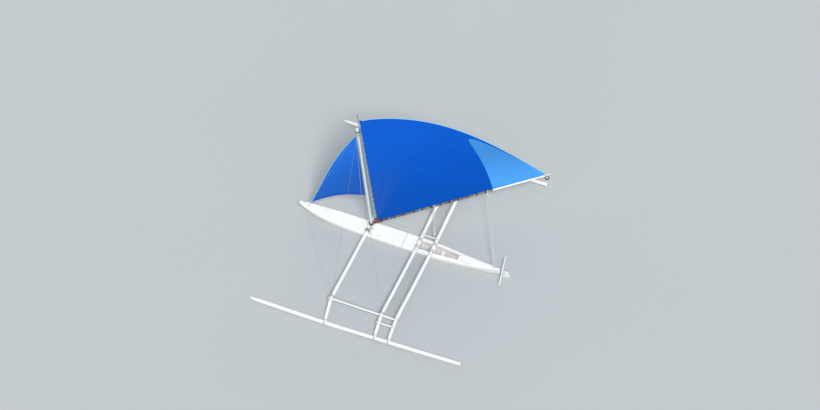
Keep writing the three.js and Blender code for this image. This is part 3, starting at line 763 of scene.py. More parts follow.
def make_hull():
    """A ring of points at each place along the hull: out along the deck, round the
    sheer, down an upright strake, round the bilge to the keel and back. Inside a
    cockpit the middle of the deck drops to the well's floor. At bow and stern the rings
    shrink along a quarter circle."""
    ends, counts = [HULL_BOW, *WELL_ENDS, HULL_STERN], (70, 6, 5, 12, 26)
    x = np.concatenate([np.linspace(a, b, n) for a, b, n in zip(ends, ends[1:], counts)])
    nose = np.linspace(0, math.pi / 2, 6)[:-1]
    tail = (HULL_STERN - STERN_ROUND * np.cos(nose))[::-1]
    scale = np.concatenate([np.sin(nose), np.ones(len(x)), np.sin(nose)[::-1]])[:, None]
    x = np.concatenate([HULL_BOW + BOW_ROUND * np.cos(nose), x, tail])
    sunk = np.pad(np.repeat([0, 1, 0, 1, 0], counts), len(nose)) > 0
    half, deck, keel = hull_lines(x)
    mouth = WELL_INSET * (1 - (DECK - WELL_FLOOR) / WELL_DEPTH)
    width = np.interp(x, [-4.95, *WELL_ENDS[::-1], 5.0], [0.05, *WELL_WIDTHS[::-1], 0.05])
    rim = np.minimum(width - mouth, 0.7 * half)
    foot = np.where(sunk, rim - (WELL_INSET - mouth), rim * 0.7)
    low = np.where(sunk, WELL_FLOOR, deck)
    strake = np.minimum(0.09, (deck - keel) / 3)
    inner, under = half - SHEER_CORNER, deck - SHEER_CORNER
    bends = np.array([0.3, 0.65, 1.0]) * math.pi / 2
    bilge = np.linspace(0, math.pi / 2, 17)
    y = [x * 0, foot * 0.5, foot, rim, inner]
    y += [inner + SHEER_CORNER * math.sin(bend) for bend in bends]
    y += [half * max(math.cos(bend), 0) ** 0.85 for bend in bilge]
    z = [low, low, low, deck, deck]
    z += [under + SHEER_CORNER * math.cos(bend) for bend in bends]
    z += [deck - strake - (deck - strake - keel) * math.sin(bend) for bend in bilge]
    y, z = np.stack(y, 1), np.stack(z, 1)
    middle = ((deck + keel) / 2)[:, None]
    y = np.concatenate([y, -y[:, -2:0:-1]], 1) * scale
    z = middle + (np.concatenate([z, z[:, -2:0:-1]], 1) - middle) * scale
    points = np.stack([np.broadcast_to(x[:, None], y.shape), y, z], -1)
    nodes = [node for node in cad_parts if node.startswith("hull_")]
    paint = hull_paint(colours().white, colours().inner)
    Skin().grid(points, around=True).build("hull_shell", paint, "hull_paint", "boat", nodes, 50)


def make_rails():
    """A half-round rail swept along each deck edge on the hull's own lines."""
    paint = white_paint("rail_white", colours().white, (1.0, 3.0, 3.0), 0.9)
    x = np.linspace(4.7, -4.6, 150)[:, None]
    half, deck, _ = hull_lines(x)
    turn = np.linspace(-math.pi / 2, math.pi / 2, 11)
    out = np.concatenate([[0.0], 0.034 * np.cos(turn) ** 0.6, [0.0]])
    rise = np.concatenate([[-0.025], 0.025 * np.sin(turn), [0.025]])
    for tag, side in SIDES:
        rows = np.stack(np.broadcast_arrays(x, side * (half + 0.0004 + out), deck - 0.037 + rise), -1)
        skin = Skin().grid(capped(rows), around=True)
        skin.build(f"sheer_rail_{tag}", paint, "spar_paint", "boat", [f"rub_rail_{tag}"], 50)


def make_deck_fittings():
    """Coamings, seat, saddles and mast step: the CAD shapes with rounded edges."""
    white = white_paint("fitting_white", colours().white, dirt=0.8)
    for well in ("middle", "aft"):
        refined(f"coaming_{well}", white, 0.006)
    for beam in BEAMS:
        refined(f"saddle_{beam}", white, 0.008)
    refined("seat", bare_wood("seat_wood", colours().inner), 0.004)
    refined("mast_step", white, 0.006)


def make_beams():
    """Crossbeams on their rise, and the legs that go down from them to the floats, cut
    to meet half way between their directions."""
    white = white_paint("beam_white", colours().white, (2.0, 0.6, 2.0), 0.35)
    for name, (x, _) in BEAMS.items():
        tilt = (leg_ends(name)[2] + math.atan2(BEAM_END_SLOPE, 1)) / 2
        corners = [
            (np.array([x, side * ELBOW, LEG_TOP]), np.array([0, math.cos(tilt), side * math.sin(tilt)]))
            for _, side in SIDES
        ]

        def across(t):
            """The beam's axis from port to starboard."""
            y = ELBOW * (1 - 2 * t)
            return np.stack([np.full_like(y, x), y, beam_height(y)], -1)

        skin = Skin().rod(across, lambda t: beam_radius(ELBOW * (1 - 2 * t)), 60, 28, AHEAD, 0.1, corners)
        skin.build(f"crossbeam_{name}", white, "spar_paint", "boat", [f"beam_{name}"], 60)
        for (tag, side), corner in zip(SIDES, corners):
            top, foot = on_leg(name, side, 0.0), on_leg(name, side, 1.02)
            options = {"sides": 28, "ref": AHEAD, "bevel": 0.1, "cuts": (corner, None)}
            skin = Skin().line(top, foot, leg_radius, 12, **options)
            skin.build(f"float_leg_{name}_{tag}", white, "spar_paint", "boat", [f"leg_{name}_{tag}"], 60)


def make_floats():
    """Floats: round sections through the stations, pointed at the bow and cut square
    at the stern, where a wooden plug shows."""
    white = white_paint("float_white", colours().white, (0.6, 2.0, 2.0), 0.6)
    wood = bare_wood("plug_wood", (0.30, 0.27, 0.24))
    for tag, side in SIDES:
        flip = (1, side, 1)
        skin = Skin().rod(
            lambda t: float_axis(FLOAT_BOW - FLOAT_LENGTH * t) * flip,
            lambda t: through(FLOAT_BOW - FLOAT_LENGTH * t, FLOAT_STATIONS, 1),
            rows=150,
            sides=32,
            ref=UP,
            bevel=0.15,
        )
        skin.build(f"outrigger_{tag}", white, "spar_paint", "boat", [f"float_{tag}"], 60)
        end = float_axis(-5.18) * flip
        skin = Skin().line(end, end + np.array([-1, 0, 0.04]) * 0.022, 0.046, sides=28)
        skin.build(f"float_plug_{tag}", wood, "boom_wood", sharp=35)


def jointed(length, first, last, step=CANE_STEP, shift=0.5, dip=0.03, sharpness=9):
    """A cane's radius by the way along it: a taper, drawn in a little between joints."""

    def radius(t):
        near = np.abs((t * length / step + shift) % 1 - 0.5)
        return between(first, last, t) * (1 - dip * np.minimum(near * sharpness, 1))

    return radius


def make_poles():
    """Side braces, rungs between the legs, net rails and the bow's crosspiece, as
    painted canes that swell a little at each joint."""
    white = white_paint("pole_white", colours().white, (0.8, 2.0, 2.0), 0.4)

    def pole(name, node, a, b, radius):
        length = float(np.linalg.norm(np.subtract(a, b)))
        size = jointed(length, radius, radius, 0.34, 0.37, 0.035, 8)
        skin = Skin().line(a, b, size, max(8, int(length * 40)), sides=18)
        skin.build(name, white, "spar_paint", "boat", [node], 60)

    for tag, side in SIDES:
        for name, node, first, share, radius in (
            (f"brace_{tag}", f"side_brace_{tag}", "fore", BRACE_SHARE, BRACE_RADIUS),
            (f"rung_{tag}", f"leg_rung_{tag}", "middle", RUNG_SHARE, RUNG_RADIUS),
        ):
            a, b = (on_leg(beam, side, share, leg_radius(share) + radius) for beam in (first, "aft"))
            past = unit(a - b) * POLE_PAST
            pole(name, node, a + past, b - past, radius)
        y, z = side * RAIL_Y, BEAM_Z + BEAM_RADIUS + RAIL_RADIUS
        pole(f"net_bar_{tag}", f"net_rail_{tag}", (-0.88, y, z), (-1.765, y, z), RAIL_RADIUS)
    low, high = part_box("bow_crosspiece")
    x, z = (low[0] + high[0]) / 2, (low[2] + high[2]) / 2
    pole("bow_cross", "bow_crosspiece", (x, high[1], z), (x, low[1], z), 0.025)


def net_place(x, y):
    """The net's surface: it follows the beams' rise and hangs between them, deepest
    half way across, with a long slow wave along it."""
    across = (x - NET_FRONT) / (NET_BACK - NET_FRONT)
    ends = np.clip((np.abs(y) - NET_INNER) * (NET_OUTER - np.abs(y)) / 0.6, 0, 1)
    sag = 0.035 * 4 * across * (1 - across) * ends * (1 + 0.2 * np.sin(np.abs(y) * 2.1))
    return np.stack(np.broadcast_arrays(x, y, beam_height(y) + 0.006 - sag), -1)


def make_nets():
    """Knotted netting in two slanting sets of cords, clipped at the edges, with an edge
    rope that is laced round both beams."""
    twine = laid_rope("net_twine", colours().net, 0.02, 2.0, 0.25)
    rope = laid_rope("net_edge_rope", colours().rope, 0.04)
    rig = bpy.context.scene.canoe_rig
    x0, x1 = NET_FRONT - NET_INSET, NET_BACK + NET_INSET
    depth = x0 - x1
    starts = np.arange(NET_INNER - depth, NET_OUTER + depth, rig.net_mesh * math.sqrt(2))
    starts = starts[(starts + depth > NET_INNER + 0.02) & (starts < NET_OUTER - 0.02)]
    loop = [(x0, NET_INNER), (x0, NET_OUTER), (x1, NET_OUTER), (x1, NET_INNER)]
    for tag, side in SIDES:
        net, edge = Skin(), Skin()
        for near, far in ((x0, x1), (x1, x0)):
            for start in starts:
                low, high = np.clip((np.array([NET_INNER, NET_OUTER]) - start) / depth, 0, 1)

                def strand(t):
                    """A slanting cord laid on the net's surface."""
                    share = between(low, high, t)
                    return net_place(between(near, far, share), side * (start + depth * share))

                net.rod(strand, rig.net_twine, 9, 4, UP)
        net.build(f"netting_{tag}", twine, "net_cord", "boat", [f"net_{tag}"])
        for (xa, ya), (xb, yb) in zip(loop, loop[1:] + loop[:1]):
            edge.rod(lambda t: net_place(between(xa, xb, t), side * between(ya, yb, t)), 0.006, ref=UP)
        for x_beam, x_edge in ((BEAMS["middle"][0], x0), (BEAMS["aft"][0], x1)):

            def lacing(t):
                """Turns that at each angle keep to the beam or the edge rope, whichever
                reaches further that way."""
                y = between(NET_INNER + 0.02, NET_OUTER - 0.03, t)
                angle = t * LACING_TURNS * math.tau
                n = np.stack([np.cos(angle), np.sin(angle)], -1)
                beam = n * (beam_radius(y) + 0.004)[:, None]
                eye = np.array([x_edge - x_beam, 0.002]) + n * 0.009
                flat = np.where(((beam * n).sum(-1) < (eye * n).sum(-1))[:, None], eye, beam)
                return np.stack([x_beam + flat[:, 0], side * y, beam_height(y) + flat[:, 1]], -1)

            edge.rod(lacing, 0.003, LACING_TURNS * 14, 5, PORT)
        edge.build(f"net_edge_{tag}", rope, "rope")


def make_mast():
    """The mast with its collar, band and horn cleats."""
    # The mast's white paint is tinted blue-grey: painted shade with a painted reflection of the blue sail.
    white = white_paint("mast_white", colours().mast, (2.5, 2.5, 0.5), 0.5)
    (_, _, foot), (_, _, top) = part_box("mast")
    ends = (MAST_X, 0, foot), (MAST_X, 0, top)
    skin = Skin().line(*ends, lambda t: between(MAST_RADIUS, MAST_TIP, t), 40, sides=32)
    skin.build("mast_pole", white, "spar_paint", "boat", ["mast"], 60)
    refined("boom_rest", bare_wood("rest_wood", colours().wood), 0.006)
    refined("masthead_band", galvanised("band_zinc", colours().metal), 0.003)
    cleats = Skin()
    for side in (1, -1):

        def horns(t):
            """An upright bar with both ends bent out by a parabola."""
            swing = 2 * t - 1
            return np.stack([MAST_X + t * 0, side * (0.094 + 0.007 * swing**2), 0.66 + 0.085 * swing], -1)

        cleats.rod(horns, lambda t: 0.013 - 0.006 * np.abs(2 * t - 1), 14, 12, AHEAD, 0.5)
        for z in (0.642, 0.678):
            cleats.line((MAST_X, side * 0.055, z), (MAST_X, side * 0.094, z), 0.012, 4, sides=12)
    cleats.build("mast_cleats", bare_wood("cleat_wood", colours().wood), "boom_wood", sharp=35)


def make_spars():
    """Boom and yard as canes on their own UV maps, with the jaw. The boom's outer end is painted white
    as painted sunlight, and the dark brown of the rest of the boom is painted shade of the sail."""
    boom_cane = cane("boom_cane", colours().wood, BOOM_SUNLIT_FROM)
    boom_length, yard_length = math.hypot(BOOM_R1 - BOOM_R0, BOOM_Z1 - BOOM_Z0), YARD_Z1 - YARD_Z0
    for name, paint, slot, start, end, size in (
        ("boom", boom_cane, "boom_wood", (BOOM_R0, BOOM_Z0), (BOOM_R1, BOOM_Z1),
         jointed(boom_length, BOOM_RADIUS, BOOM_TIP)),
        ("yard", cane("yard_cane", colours().bamboo), "bamboo", (YARD_R0, YARD_Z0), (YARD_R1, YARD_Z1),
         jointed(yard_length, YARD_RADIUS, YARD_TIP)),
    ):
        (r0, z0), (r1, z1) = start, end
        skin = Skin().rod(lambda t: in_sail(between(r0, r1, t), 0, between(z0, z1, t)), size, 340, 20)
        skin.build(f"{name}_spar", paint, slot, "sail_rig", [name], 60)
    refined("boom_jaw", bare_wood("jaw_wood", colours().wood), 0.008, "sail_rig")


def main_place(u, v):
    """The mainsail: straight lines from luff to leech, a roach in the sail's plane, and
    camber and twist that carry the cloth to leeward. u goes aft, v goes up.
    Returns the flat coordinates (r, z) and the distance to leeward."""
    luff = between(TACK, THROAT, v[..., None])
    leech = between(CLEW, PEAK, v[..., None])
    edge = PEAK - CLEW
    swell = np.sin(math.pi * np.maximum(0, 1 - v) ** 0.85)
    out = ROACH * swell * u / np.linalg.norm(edge)
    flat = between(luff, leech, u[..., None]) + out[..., None] * np.array([edge[1], -edge[0]])
    chord = leech[..., 0] - luff[..., 0]
    belly = 0.085 * chord * (1 - (1 - v) ** 3) * np.sin(math.pi * np.maximum(0, u) ** 0.8)
    return flat, belly + 0.720 * swell * np.maximum(0, u) ** 1.3


def stretched(sail, points):
    solid = sail.modifiers.new("thickness", "SOLIDIFY")
    solid.thickness, solid.offset = 0.003, 0.0
    a, b = points[1:, 1:] - points[:-1, :-1], points[1:, :-1] - points[:-1, 1:]


def hem(name, material, slot, body, radius, *rows):
    """Rolled hems along rows of a sail's points."""
    skin = Skin()
    for row in rows:

        def along(t):
            """Straight steps from point to point of the row."""
            at = t * (len(row) - 1)
            i = np.clip(at.astype(int), 0, len(row) - 2)
            return between(row[i], row[i + 1], (at - i)[:, None])

        skin.rod(along, radius, 120, 6)
    skin.build(name, material, slot, body)


def make_mainsail():
    """The mainsail's cloth, with slack puckers at its lacings and creases from the clew,
    which is held a little short of the boom's end."""
    u, v = np.meshgrid(np.linspace(0, 1, 170), np.linspace(0, 1, 180))
    flat, lee = main_place(u, v)
    reach = np.linalg.norm(flat - CLEW, axis=-1)
    angle = np.arctan2(flat[..., 1] - CLEW[1], CLEW[0] - flat[..., 0])
    fan = np.sin(angle * CREASES) * np.exp(-(((reach - 1.7) / 1.2) ** 2))
    luff_run = np.linalg.norm(flat - TACK, axis=-1)
    pucker = np.sin(luff_run * math.tau / LUFF_STEP) * np.exp(-u * 8.2 / 0.25) * (1 - u)
    foot_run = np.sin(flat[..., 0] * math.tau / FOOT_STEP) * np.exp(-v * 8.0 / 0.22)
    inside = np.minimum(1, np.minimum(u, 1 - u) * 30) * np.minimum(1, np.minimum(v, 1 - v) * 30)
    lee = lee + (0.009 * fan + 0.012 * pucker + 0.010 * foot_run) * inside
    points = in_sail(flat[..., 0], lee, flat[..., 1])
    leech = unit(PEAK - CLEW)
    cloth = sailcloth("main_cloth", colours().main, (leech[1], -leech[0]), 0.92, painted_clew_light)
    skin = Skin().grid(points, flat)
    sail = skin.build("mainsail_cloth", cloth, "main_cloth", "sail_rig", ["mainsail"])
    stretched(sail, points)
    place = "main_cloth", "sail_rig"
    hem("leech_hem", hem_cloth("hem_tape", colours().band), *place, 0.010, points[:, -1])
    rows = points[0], points[-1], points[:, 0]
    hem("bolt_rope", hem_cloth("bolt_tape", colours().main), *place, 0.008, *rows)


def jib_place(u, v):
    """The jib: its luff leaves from beside the stay and bows forward, straight lines
    run to the leech, camber carries it to leeward and its foot has a small round."""
    bow = np.sin(math.pi * np.maximum(0, v) ** 1.3)
    luff = between(STAY_FOOT, STAY_HEAD, (0.04 + 0.928 * v)[..., None])
    luff = luff + np.stack([0.165 * bow, -0.0076 - 0.030 * bow, 0 * bow], -1)
    head = between(STAY_FOOT, STAY_HEAD, 0.968) + (-0.060, -0.014, -0.016)
    leech = between(JIB_CLEW, head, v[..., None])
    chord = np.linalg.norm(leech - luff, axis=-1)
    at = between(luff, leech, u[..., None])
    at[..., 1] -= 0.1 * chord * np.sin(math.pi * np.maximum(0, u) ** 0.85)
    at[..., 2] -= 0.090 * np.maximum(0, 1 - v) ** 4 * 4 * u * (1 - u)
    return at


def make_jib():
    """The jib's cloth, with its luff band, hems and the pull marks at the luff."""
    u, v = np.meshgrid(np.linspace(0, 1, 110), np.linspace(0, 1, 170))
    points = jib_place(u, v)
    back = u * np.linalg.norm(jib_place(v * 0 + 1, v) - jib_place(v * 0, v), axis=-1)
    height = 7.1 * v
    marks = np.sin(height * math.tau / 0.62) * np.exp(-back / 0.45) * np.minimum(1, back / 0.1)
    points[..., 1] -= 0.014 * marks * np.minimum(1, np.minimum(v, 1 - v) * 25)
    flat = np.stack([back, height + 0.9 - back * 0.4], -1)
    cloth = sailcloth("jib_cloth", colours().jib, (0.25, 0.97), 0.85, jib_bands)
    sail = Skin().grid(points, flat).build("jib_cloth", cloth, "jib_cloth", "boat", ["jib"])
    stretched(sail, points)
    rows = points[0], points[-1], points[:, -1]
    hem("jib_hem", hem_cloth("jib_hem_tape", colours().jib), "jib_cloth", "boat", 0.007, *rows)
    hem("jib_luff", hem_cloth("luff_tape", colours().band), "jib_cloth", "boat", 0.012, points[:, 0])


def make_lashings():
    """Cord round every place where one member is tied to another."""
    pale, dark = Skin(), Skin()
    for name, (x, foot) in BEAMS.items():
        slope = leg_ends(name)[2]
        for side in (1, -1):
            for y in (0.15, 0.24):
                rounds = [(0, 0, BEAM_RADIUS), (0.062, -0.096, 0.010), (-0.062, -0.096, 0.010)]
                lash(dark if name == "fore" else pale, (x, side * y, BEAM_Z), AHEAD, UP, rounds, 7, 0.005)
            seat = float_axis(foot) * (1, side, 1)
            y, z = on_leg(name, side, 0.94)[1:] - seat[1:]
            lash(pale, seat, PORT, UP, [(0, 0, FLOAT_RADIUS), (y, z + 0.02, 0.050)], 8, 0.005, 30)
            down = (0, side * math.cos(slope), math.sin(slope))
            square = (0, -side * math.sin(slope), math.cos(slope))
            poles = [(BRACE_SHARE, BRACE_RADIUS)]
            if name != "fore":
                poles.append((RUNG_SHARE, RUNG_RADIUS))
                cross_lash(pale, (x, side * RAIL_Y, BEAM_Z), UP, (PORT, BEAM_RADIUS), (AHEAD, RAIL_RADIUS))
            for share, radius in poles:
                leg = down, leg_radius(share)
                cross_lash(pale, on_leg(name, side, share), square, leg, (AHEAD, radius))
            if name != "aft":
                at = (x, side * SHROUD_END, beam_height(SHROUD_END))
                lash(dark, at, AHEAD, UP, [(0, 0, BEAM_TIP)], 4, 0.005)
    pale.build("deck_lashings", laid_rope("lashing_cord", colours().cord, dirt=0.06), "rope")
    dark.build("dark_lashings", laid_rope("grey_cord", colours().grey, dirt=0.1), "dark_rope")


def make_sail_lashings():
    """Lacings of the sail to yard and boom, the tack's wrapping, and the parrel."""
    port, down = unit(SAIL_PORT), -np.cross(unit(in_sail(1, 0, BOOM_SLOPE) - in_sail(0, 0, 0)), SAIL_PORT)
    pale, tarred, wrap = Skin(), Skin(), Skin()
    for z in np.arange(1.45, 8.95, LUFF_STEP):
        share = (z - YARD_Z0) / (YARD_Z1 - YARD_Z0)
        r = between(YARD_R0, YARD_R1, share)
        luff = between(TACK[0], THROAT[0], (z - TACK[1]) / (THROAT[1] - TACK[1]))
        rounds = [(0, 0, between(YARD_RADIUS, YARD_TIP, share)), (luff - r + 0.012, 0, 0.006)]
        lash(pale, in_sail(r, 0, z), SAIL_AFT, port, rounds, 3, 0.004)
    boom = (0, 0, BOOM_RADIUS)
    for r in np.arange(0.70, 7.9, FOOT_STEP):
        # The dark lacing up to 5.5 m is painted shade of the sail and the pale lacing beyond it painted
        # sunlight, like the boom's brown and white.
        target, turns, cord = (tarred, 5, 0.005) if r < 5.5 else (pale, 3, 0.0035)
        lash(target, boom_at(r), port, down, [boom, (0, BOOM_RADIUS + 0.014, 0.006)], turns, cord)
    at_tack = (0.225, wrap, 6, 0.011), (0.365, wrap, 5, 0.011), (0.47, tarred, 4, 0.009)
    for r, target, turns, cord in at_tack:
        lash(target, boom_at(r), port, down, [boom, (0, 0.085, 0.030)], turns, cord)
    for z, target, cord in ((1.115, wrap, 0.012), (1.215, tarred, 0.008)):
        lash(target, in_sail(YARD_R0, 0, z), SAIL_AFT, port, [(0, 0, YARD_RADIUS)], 4, cord)
    lash(pale, boom_at(8.09), port, down, [boom, (0, BOOM_RADIUS + 0.02, 0.012)], 5, 0.006)
    lash(pale, boom_at(8.275), port, down, [(0, 0, BOOM_TIP)], 4, 0.006)
    for side in (1, -1):
        start, stop = in_sail(CLEW[0] - 0.02, 0.008 * side, CLEW[1] - 0.01), boom_at(8.27, -0.058)
        pale.line(start, stop + side * 0.012 * port, 0.006, 6)
    lash(tarred, in_sail(0, 0, 8.22), SAIL_AFT, port, [(0, 0, 0.073), (0.115, 0, 0.03)], 5, 0.006)
    pale.build("luff_lacing", laid_rope("sail_lacing", colours().rope), "rope", "sail_rig")
    brown = laid_rope("tack_wrap", colours().wrap, 0.03, dirt=0.2)
    wrap.build("tack_wrapping", brown, "boom_wood", "sail_rig")
    dark = laid_rope("foot_lacing", colours().tar, dirt=0.1)
    tarred.build("foot_lacing", dark, "dark_rope", "sail_rig", ["parrel"])


def make_standing_rigging():
    """The stays and shrouds keep their CAD shape; fittings stand at their ends."""
    wire = stranded_wire("stay_strands", colours().metal)
    rope = laid_rope("guy_rope", colours().rope, 0.03)
    for name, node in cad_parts.items():
        if name.startswith(("shroud", "forestay", "bow_guy")):
            node.data.materials.clear()
            node.data.materials.append(rope if name.startswith("bow") else wire)
    skin = Skin()
    for side in (1, -1):
        for beam, offset in (("fore", 0.022), ("middle", -0.022)):
            height = beam_height(SHROUD_END) + BEAM_TIP + 0.010
            end = np.array([BEAMS[beam][0], side * SHROUD_END, height])
            head = np.array([MAST_X + offset, side * 0.0804, BAND_TOP])
            way = unit(head - end)
            skin.line(end + way * 0.02, end + way * 0.16, 0.011, 6, sides=10)
            skin.line(end + way * 0.055, end + way * 0.125, 0.015, 3, sides=6)
            skin.line(head - way * 0.05, head - way * 0.16, 0.008, 4)
    way = unit(STAY_HEAD - STAY_FOOT)
    skin.line(STAY_FOOT + way * 0.02, STAY_FOOT + way * 0.14, 0.012, 6, sides=10)
    skin.line(STAY_HEAD - way * 0.03, STAY_HEAD - way * 0.15, 0.009, 4)
    skin.line(STAY_FOOT + (0.03, 0, -0.03), STAY_FOOT + (-0.05, 0, 0.02), 0.018, 4)
    skin.build("rigging_screws", galvanised("eye_zinc", colours().metal), "fitting", sharp=35)


def make_tackles(rope, wood):
    """The mainsheet and the boom's tackle. Parts of rope run between a block under the
    boom and one a share of the way down to the deck's point, where two parts go on."""
    blocks, hung = Skin(), Skin()
    for name, fixed, r, share, parts, radius in (
        ("mainsheet", SHEET_EYE, SHEET_R, 0.77, (-0.055, 0.055), 0.009),
        ("boom_tackle", TACKLE_EYE, TACKLE_R, 0.86, (-0.03, 0, 0.03), 0.008),
    ):
        fixed, hook = np.array(fixed), boom_at(r, 0.06)
        way = unit(hook - fixed)
        across = unit(np.cross(way, UP))
        low, high = between(hook, fixed, share), hook - way * 0.13
        cords, lower = Skin(), Skin()
        for top in parts:
            cords.line(low + across * top * 0.72, high + across * top, radius, 30)
        for end in (-0.5, 0.5):
            spread = across * parts[-1] * end
            cords.line(fixed + way * 0.02 + spread * 0.4, low - way * 0.04 + spread, radius, 8)
        block(lower, low, way, across)
        for piece in (
            cords.build(name, rope, "rope", None),
            lower.build(name + "_block", wood, "boom_wood", None, sharp=35),
        ):
            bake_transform(piece)
        block(blocks, high, way, across)
        hung.line(high + way * 0.04, hook + way * 0.02, 0.010, 4)
    end, coil = Skin(), Skin()
    block(end, boom_at(COIL_R, 0.235), -UP, SAIL_AFT)
    end.build("boom_end_block", wood, "boom_wood", "sail_rig", sharp=35)
    lash(coil, boom_at(COIL_R, 0.215), SAIL_AFT, UP, [(0, 0, 0.125)], 4, 0.009, 30, 0.088 / 0.125)
    dark = laid_rope("coil_rope", colours().tar, 0.03, dirt=0.1)
    coil.build("boom_end_coil", dark, "dark_rope", "sail_rig")
    hung.line(boom_at(COIL_R, 0.08), boom_at(COIL_R, 0.205), 0.007, 4)
    for r, drop in ((SHEET_R, 0.0), (TACKLE_R, 0.0), (COIL_R, 0.055)):
        rounds = [(0, 0, BOOM_RADIUS), (0, -BOOM_RADIUS - drop, 0.012)]
        lash(hung, boom_at(r), SAIL_PORT, UP, rounds, 4, 0.006)
    blocks.build("boom_blocks", wood, "boom_wood", "sail_rig", sharp=35)
    hung.build("block_straps", rope, "rope", "sail_rig")


def make_running_rigging():
    """Mainsheet, boom tackle, jib sheet, steering lines and halyards, with blocks."""
    rope = laid_rope("sheet_rope", colours().rope, 0.04, dirt=0.1, groove_shade=0.65)
    thin = laid_rope("control_line", colours().cord, dirt=0.05, groove_shade=0.85)
    wood = bare_wood("block_wood", colours().block)
    make_tackles(rope, wood)
    tack, head = jib_place(np.zeros(1), np.zeros(1))[0], jib_place(np.full(1, 0.5), np.ones(1))[0]
    lines = Skin()
    for start, end, radius, rows in (
        (JIB_CLEW + (-0.01, 0, -0.02), SHEET_LEAD + (0, 0, 0.03), 0.007, 30),
        (SHEET_LEAD, (-0.78, -0.315, 0.60), 0.007, 30),
        *(((MAST_X + x, y, HALYARD_TOP), (*eye, 0.40), 0.004, 40) for (x, y), eye in HALYARDS),
        (tack, STAY_FOOT + (0.01, 0, 0.005), 0.006, 4),
        (head, (STAY_HEAD[0] - 0.03, 0, BAND_TOP - 0.05), 0.006, 4),
    ):
        lines.line(start, end, radius, rows)
    lines.build("halyards_and_sheet", thin, "rope")
    fairlead, strap, eyes = Skin(), Skin(), Skin()
    block(fairlead, SHEET_LEAD, (-0.45, 0.1, 0.9), (0.9, 0.0, 0.4), 0.042)
    fairlead.build("sheet_lead", wood, "boom_wood", sharp=35)
    rounds = [(0, 0, BEAM_RADIUS), (-0.038, 0.100, 0.010)]
    lash(strap, (BEAMS["fore"][0], SHEET_LEAD[1], 0.486), AHEAD, UP, rounds, 3, 0.005)
    strap.build("lead_strap", rope, "rope")
    for x, y in (SHEET_EYE[:2], *(eye for _, eye in HALYARDS)):
        at = np.array([x, y, hull_lines(x)[1]])
        eyes.line(at - 0.002 * UP, at + 0.006 * UP, 0.034, 3, sides=20)

        def half_ring(t):
            """Half an upright ellipse across the boat."""
            turn = t * math.pi
            return at + np.stack([t * 0, 0.018 * np.cos(turn), 0.004 + 0.022 * np.sin(turn)], -1)

        eyes.rod(half_ring, 0.005, 16, ref=AHEAD)
    eyes.build("pad_eyes", galvanised("eye_plate_zinc", colours().metal), "fitting", sharp=35)
    for tag, side in SIDES:
        tip, hole = in_rudder(-0.04, side * 0.74, YOKE_Z), np.array(STEERING_HOLE) * (1, side, 1)

        def slack(t):
            """A straight run with a parabola's sag of 4 cm."""
            at = between(tip, hole, t[:, None])
            at[:, 2] -= 0.16 * t * (1 - t)
            return at

        cord = Skin().rod(slack, 0.005, 40, ref=UP)
        piece = cord.build(f"steering_line_{tag}", thin, "rope", None)
        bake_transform(piece)


def make_rudder():
    """A foil: its half thickness follows the usual sum of a square root and powers of
    the way from the front edge. Its yoke, and the straps and plates it hangs on."""
    white = white_paint("rudder_white", colours().white, (1, 1, 1), 0.9)
    metal = galvanised("gudgeon_zinc", colours().metal)
    z = [np.linspace(-0.560, -0.49, 12), np.linspace(-0.46, 0.37, 30), np.linspace(0.38, 0.4385, 12)]
    z = np.concatenate(z)[:, None]
    front, back, thick = (through(z, RUDDER_LINES, column) for column in (1, 2, 3))
    way = (1 - np.cos(np.linspace(0, math.pi, 19))) / 2
    half = 5 * (0.2969 * np.sqrt(way) - 0.126 * way - 0.3516 * way**2 + 0.2843 * way**3 - 0.1036 * way**4)
    a = between(front, back, np.concatenate([way, way[-2:0:-1]]))
    b = thick * np.concatenate([half, -half[-2:0:-1]])
    skin = Skin().grid(capped(in_rudder(a, b, z)), around=True)
    skin.build("rudder_blade", white, "spar_paint", "rudder_set", ["rudder"], 50)
    turn = np.linspace(0, math.tau, 25)[:-1]
    outline = np.stack([np.cos(turn), np.sin(turn)])
    outline = np.sign(outline) * np.abs(outline) ** 0.4
    profile = [(0.0, 0.0), (0.96, 0.0), (1.0, 0.004), (1.0, 0.036), (0.96, 0.040), (0.0, 0.040)]
    swell, rise = np.array(profile).T[..., None]
    straps = Skin()
    for name, reach in (("upper", -0.17), ("lower", -0.13)):
        z0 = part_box(f"gudgeon_{name}")[1][2] + 0.0005
        middle, wide = (0.012 + reach) / 2, (0.012 - reach) / 2
        along, across = middle + wide * swell * outline[0], 0.020 * swell * outline[1]
        straps.grid(in_rudder(along, across, z0 + rise), around=True)
        straps.line(in_rudder(0, 0, z0 - 0.0002), in_rudder(0, 0, z0 + 0.055), 0.008, 4, sides=12)
        refined(f"gudgeon_{name}", metal, 0.002)
    straps.build("rudder_straps", metal, "fitting", "rudder_set", sharp=40)
    ends = in_rudder(-0.04, 0.78, YOKE_Z), in_rudder(-0.04, -0.78, YOKE_Z)
    skin = Skin().line(*ends, lambda t: 0.030 - 0.006 * np.abs(2 * t - 1), 30, sides=18)
    skin.build("steering_yoke", white, "spar_paint", "rudder_set", ["rudder_yoke"], 60)


def facing(azimuth, elevation):
    """The direction of a place in the sky, by its turn from the bow and its height."""
    level = math.cos(elevation)
    return np.array([math.cos(azimuth) * level, math.sin(azimuth) * level, math.sin(elevation)])


def look(back):
    """A turn whose third axis points back towards the viewer and whose first is level."""
    right = unit(np.cross(UP, back))
    return np.stack([right, np.cross(back, right), back], 1)


